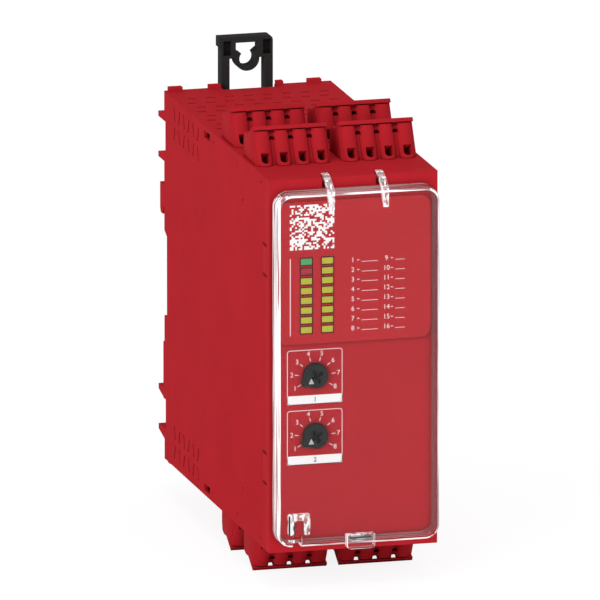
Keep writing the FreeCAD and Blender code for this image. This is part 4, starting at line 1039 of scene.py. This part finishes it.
class RELAY_OT_knobs(Operator):
    """Models the two screwdriver knobs of the rotary selectors"""
    bl_idname = "safety_relay.knobs"
    bl_label = "Model Knobs"

    def execute(self, context):
        size, pattern = context.scene.safety_relay_sizes, context.scene.safety_relay_pattern
        skin = moulded_polyamide("polybutylene_knob", context.scene.safety_relay_colours.knob,
                                 rough=0.4, edge=0.15)
        # painted shade for the inside of the cross slots
        shade = moulded_polyamide("polybutylene_slot", linear("0E0F0F"), rough=0.6)
        mark = screen_ink("ink_light_grey", linear("B9BBBB"))
        for node, body in KNOB_NODES.items():
            hub, front = knob_centre(body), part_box(node)[0].y
            knob = knob_head(size, node, hub, pattern.knob_rest)
            close_piece(knob, body, skin)
            # painted shade inside the cross slot
            second_finish(knob, shade, lambda f: math.hypot(middle(f).x - hub.x, middle(f).z - hub.z)
                          < 1.95 * MM and front + 0.1 * MM < middle(f).y < front + 1.2 * MM)
            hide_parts(node)
            close_piece(knob_arrow(size, node, hub), body, mark)
        return {"FINISHED"}


class RELAY_OT_terminals(Operator):
    """Models one plug-in terminal block and sets its eight copies into the bays"""
    bl_idname = "safety_relay.terminals"
    bl_label = "Model Terminal Blocks"

    def execute(self, context):
        size = context.scene.safety_relay_sizes
        plug = moulded_polyamide("polyamide_red_plug", context.scene.safety_relay_colours.plug,
                                 rough=0.44)
        pattern = terminal_pattern(size, *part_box("terminal_top_left_front"))
        for name in sorted(name for name in frame["nodes"] if name.startswith("terminal")):
            low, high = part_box(name)
            turned = low.z < 0
            spot = ((low.x + high.x) / 2, high.y - size.plug_deep,
                    -PANEL_HIGH.z if turned else PANEL_HIGH.z)
            copy = twin(pattern, name + "_dressed", spot, turned)
            close_piece(copy, "base", plug)
            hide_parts(name)
        bpy.data.objects.remove(pattern)
        return {"FINISHED"}


class RELAY_OT_spring(Operator):
    """Models the coil spring that returns the rail latch"""
    bl_idname = "safety_relay.spring"
    bl_label = "Model Latch Spring"

    def execute(self, context):
        size, pattern = context.scene.safety_relay_sizes, context.scene.safety_relay_pattern
        low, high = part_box("latch_spring")
        # the coil fills the spring's box, less its wire and a clearance of 0.05 mm; the latch's stroke is 3
        # mm and a little more
        radius = (high.x - low.x) / 2 - size.spring_wire / 2 - 0.05 * MM
        rise = high.z - low.z - size.spring_wire
        rest_selection()
        bpy.ops.mesh.primitive_circle_add(vertices=14, radius=size.spring_wire / 2, fill_type="NGON",
                                          location=(radius, 0, 0), rotation=(math.radians(90), 0, 0))
        coil = name_piece("latch_spring_wire")
        modify(coil, "SCREW", screw_offset=rise / pattern.spring_turns,
               iterations=pattern.spring_turns, steps=32, use_merge_vertices=False)
        coil.location = ((low.x + high.x) / 2, (low.y + high.y) / 2, low.z + size.spring_wire / 2)
        set_place(coil)
        edit(coil)
        face_outwards()
        close_piece(coil, "base", drawn_metal("spring_steel", "9A9DA0"), 60)
        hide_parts("latch_spring")
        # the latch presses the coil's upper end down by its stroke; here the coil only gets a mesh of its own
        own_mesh(coil)
        return {"FINISHED"}


class RELAY_OT_printing(Operator):
    """Prints the numbers, dials, lines and code field on the front"""
    bl_idname = "safety_relay.printing"
    bl_label = "Print Front"

    def execute(self, context):
        size, pattern = context.scene.safety_relay_sizes, context.scene.safety_relay_pattern
        tints = context.scene.safety_relay_colours
        pale = screen_ink("ink_pale_rose", tints.pale_ink)
        white = screen_ink("ink_white", tints.white_ink)
        black = screen_ink("ink_black", tints.black_ink)
        # painted shade: a dark ink for the frames round the windows, standing for the shade of their recesses
        painted_shade_finish = screen_ink("recess_shade", linear("4A0F13"))
        dials, strips = dial_print(size, pattern)
        tags, legends = strip_numbers(size), legend_print(size)
        rims, field = window_rims(size), code_field(size, pattern)
        for piece, made, slot in ((dials, pale, "panel_red"), (strips, white, "panel_red"),
                                  (tags, black, "panel_red"), (rims, painted_shade_finish, "label_red"),
                                  (legends, pale, "label_red"), (field, white, "label_red")):
            close_piece(piece, "base", made)
        return {"FINISHED"}


class RELAY_OT_stage(Operator):
    """Builds the plain pale floor, the soft light and the camera"""
    bl_idname = "safety_relay.stage"
    bl_label = "Build Stage"

    def execute(self, context):
        scene = context.scene
        scene.view_settings.view_transform = "Standard"
        scene.world = plain_studio()
        rest_selection()
        bpy.ops.mesh.primitive_plane_add(size=4.0, location=(0, 0, CAD_BOX[0].z))
        floor = context.object
        floor.name = "floor"
        finish_with(floor, pale_floor())

        lit_spot = Vector((0, -0.05, 0))
        for name, spot, power, wide in (("key_softbox", (-1.6, -1.5, 0.7), 24.0, 1.2),
                                        ("fill_softbox", (0.5, -1.9, 0.3), 5.0, 1.2),
                                        ("top_softbox", (-0.1, -0.2, 1.9), 6.5, 0.5)):
            bpy.ops.object.light_add(type="AREA", location=spot)
            lamp = context.object
            lamp.name = name
            lamp.data.shape = "SQUARE"
            lamp.data.size = wide
            lamp.data.energy = power
            lamp.rotation_euler = (lit_spot - Vector(spot)).to_track_quat("-Z", "Y").to_euler()

        # a long lens from the front left and a little above
        azimuth, rise, away = math.radians(15), math.radians(13.54), 6.93
        target = Vector((0.0, -0.0531, 0.00415))
        spot = target - away * Vector((math.sin(azimuth) * math.cos(rise),
                                       math.cos(azimuth) * math.cos(rise), -math.sin(rise)))
        bpy.ops.object.camera_add(location=spot)
        camera = context.object
        camera.name = "camera"
        camera.rotation_euler = (target - spot).to_track_quat("-Z", "Y").to_euler()
        camera.data.lens, camera.data.sensor_width = 1600, 36
        camera.data.clip_start, camera.data.clip_end = 0.1, 30
        scene.camera = camera
        return {"FINISHED"}


class RELAY_PT_pieces(Panel):
    """Lists the steps that dress the relay"""
    bl_label = "Safety Relay"
    bl_idname = "RELAY_PT_pieces"
    bl_space_type = "VIEW_3D"
    bl_region_type = "UI"
    bl_category = "Safety Relay"

    def draw(self, context):
        for step in STEPS:
            self.layout.operator(step.bl_idname)


STEPS = (RELAY_OT_stage, RELAY_OT_moulded_parts, RELAY_OT_lenses, RELAY_OT_terminals, RELAY_OT_knobs,
         RELAY_OT_spring, RELAY_OT_printing, RELAY_OT_cover)
CLASSES = (SafetyRelaySizes, SafetyRelayColours, SafetyRelayPattern) + STEPS + (RELAY_PT_pieces,)


def register():
    for made in CLASSES:
        bpy.utils.register_class(made)
    bpy.types.Scene.safety_relay_sizes = PointerProperty(type=SafetyRelaySizes)
    bpy.types.Scene.safety_relay_colours = PointerProperty(type=SafetyRelayColours)
    bpy.types.Scene.safety_relay_pattern = PointerProperty(type=SafetyRelayPattern)


def unregister():
    del bpy.types.Scene.safety_relay_pattern
    del bpy.types.Scene.safety_relay_colours
    del bpy.types.Scene.safety_relay_sizes
    for made in reversed(CLASSES):
        bpy.utils.unregister_class(made)


def main():
    register()
    for step in STEPS:
        group, name = step.bl_idname.split(".")
        getattr(getattr(bpy.ops, group), name)()


if __name__ == "__main__":
    main()
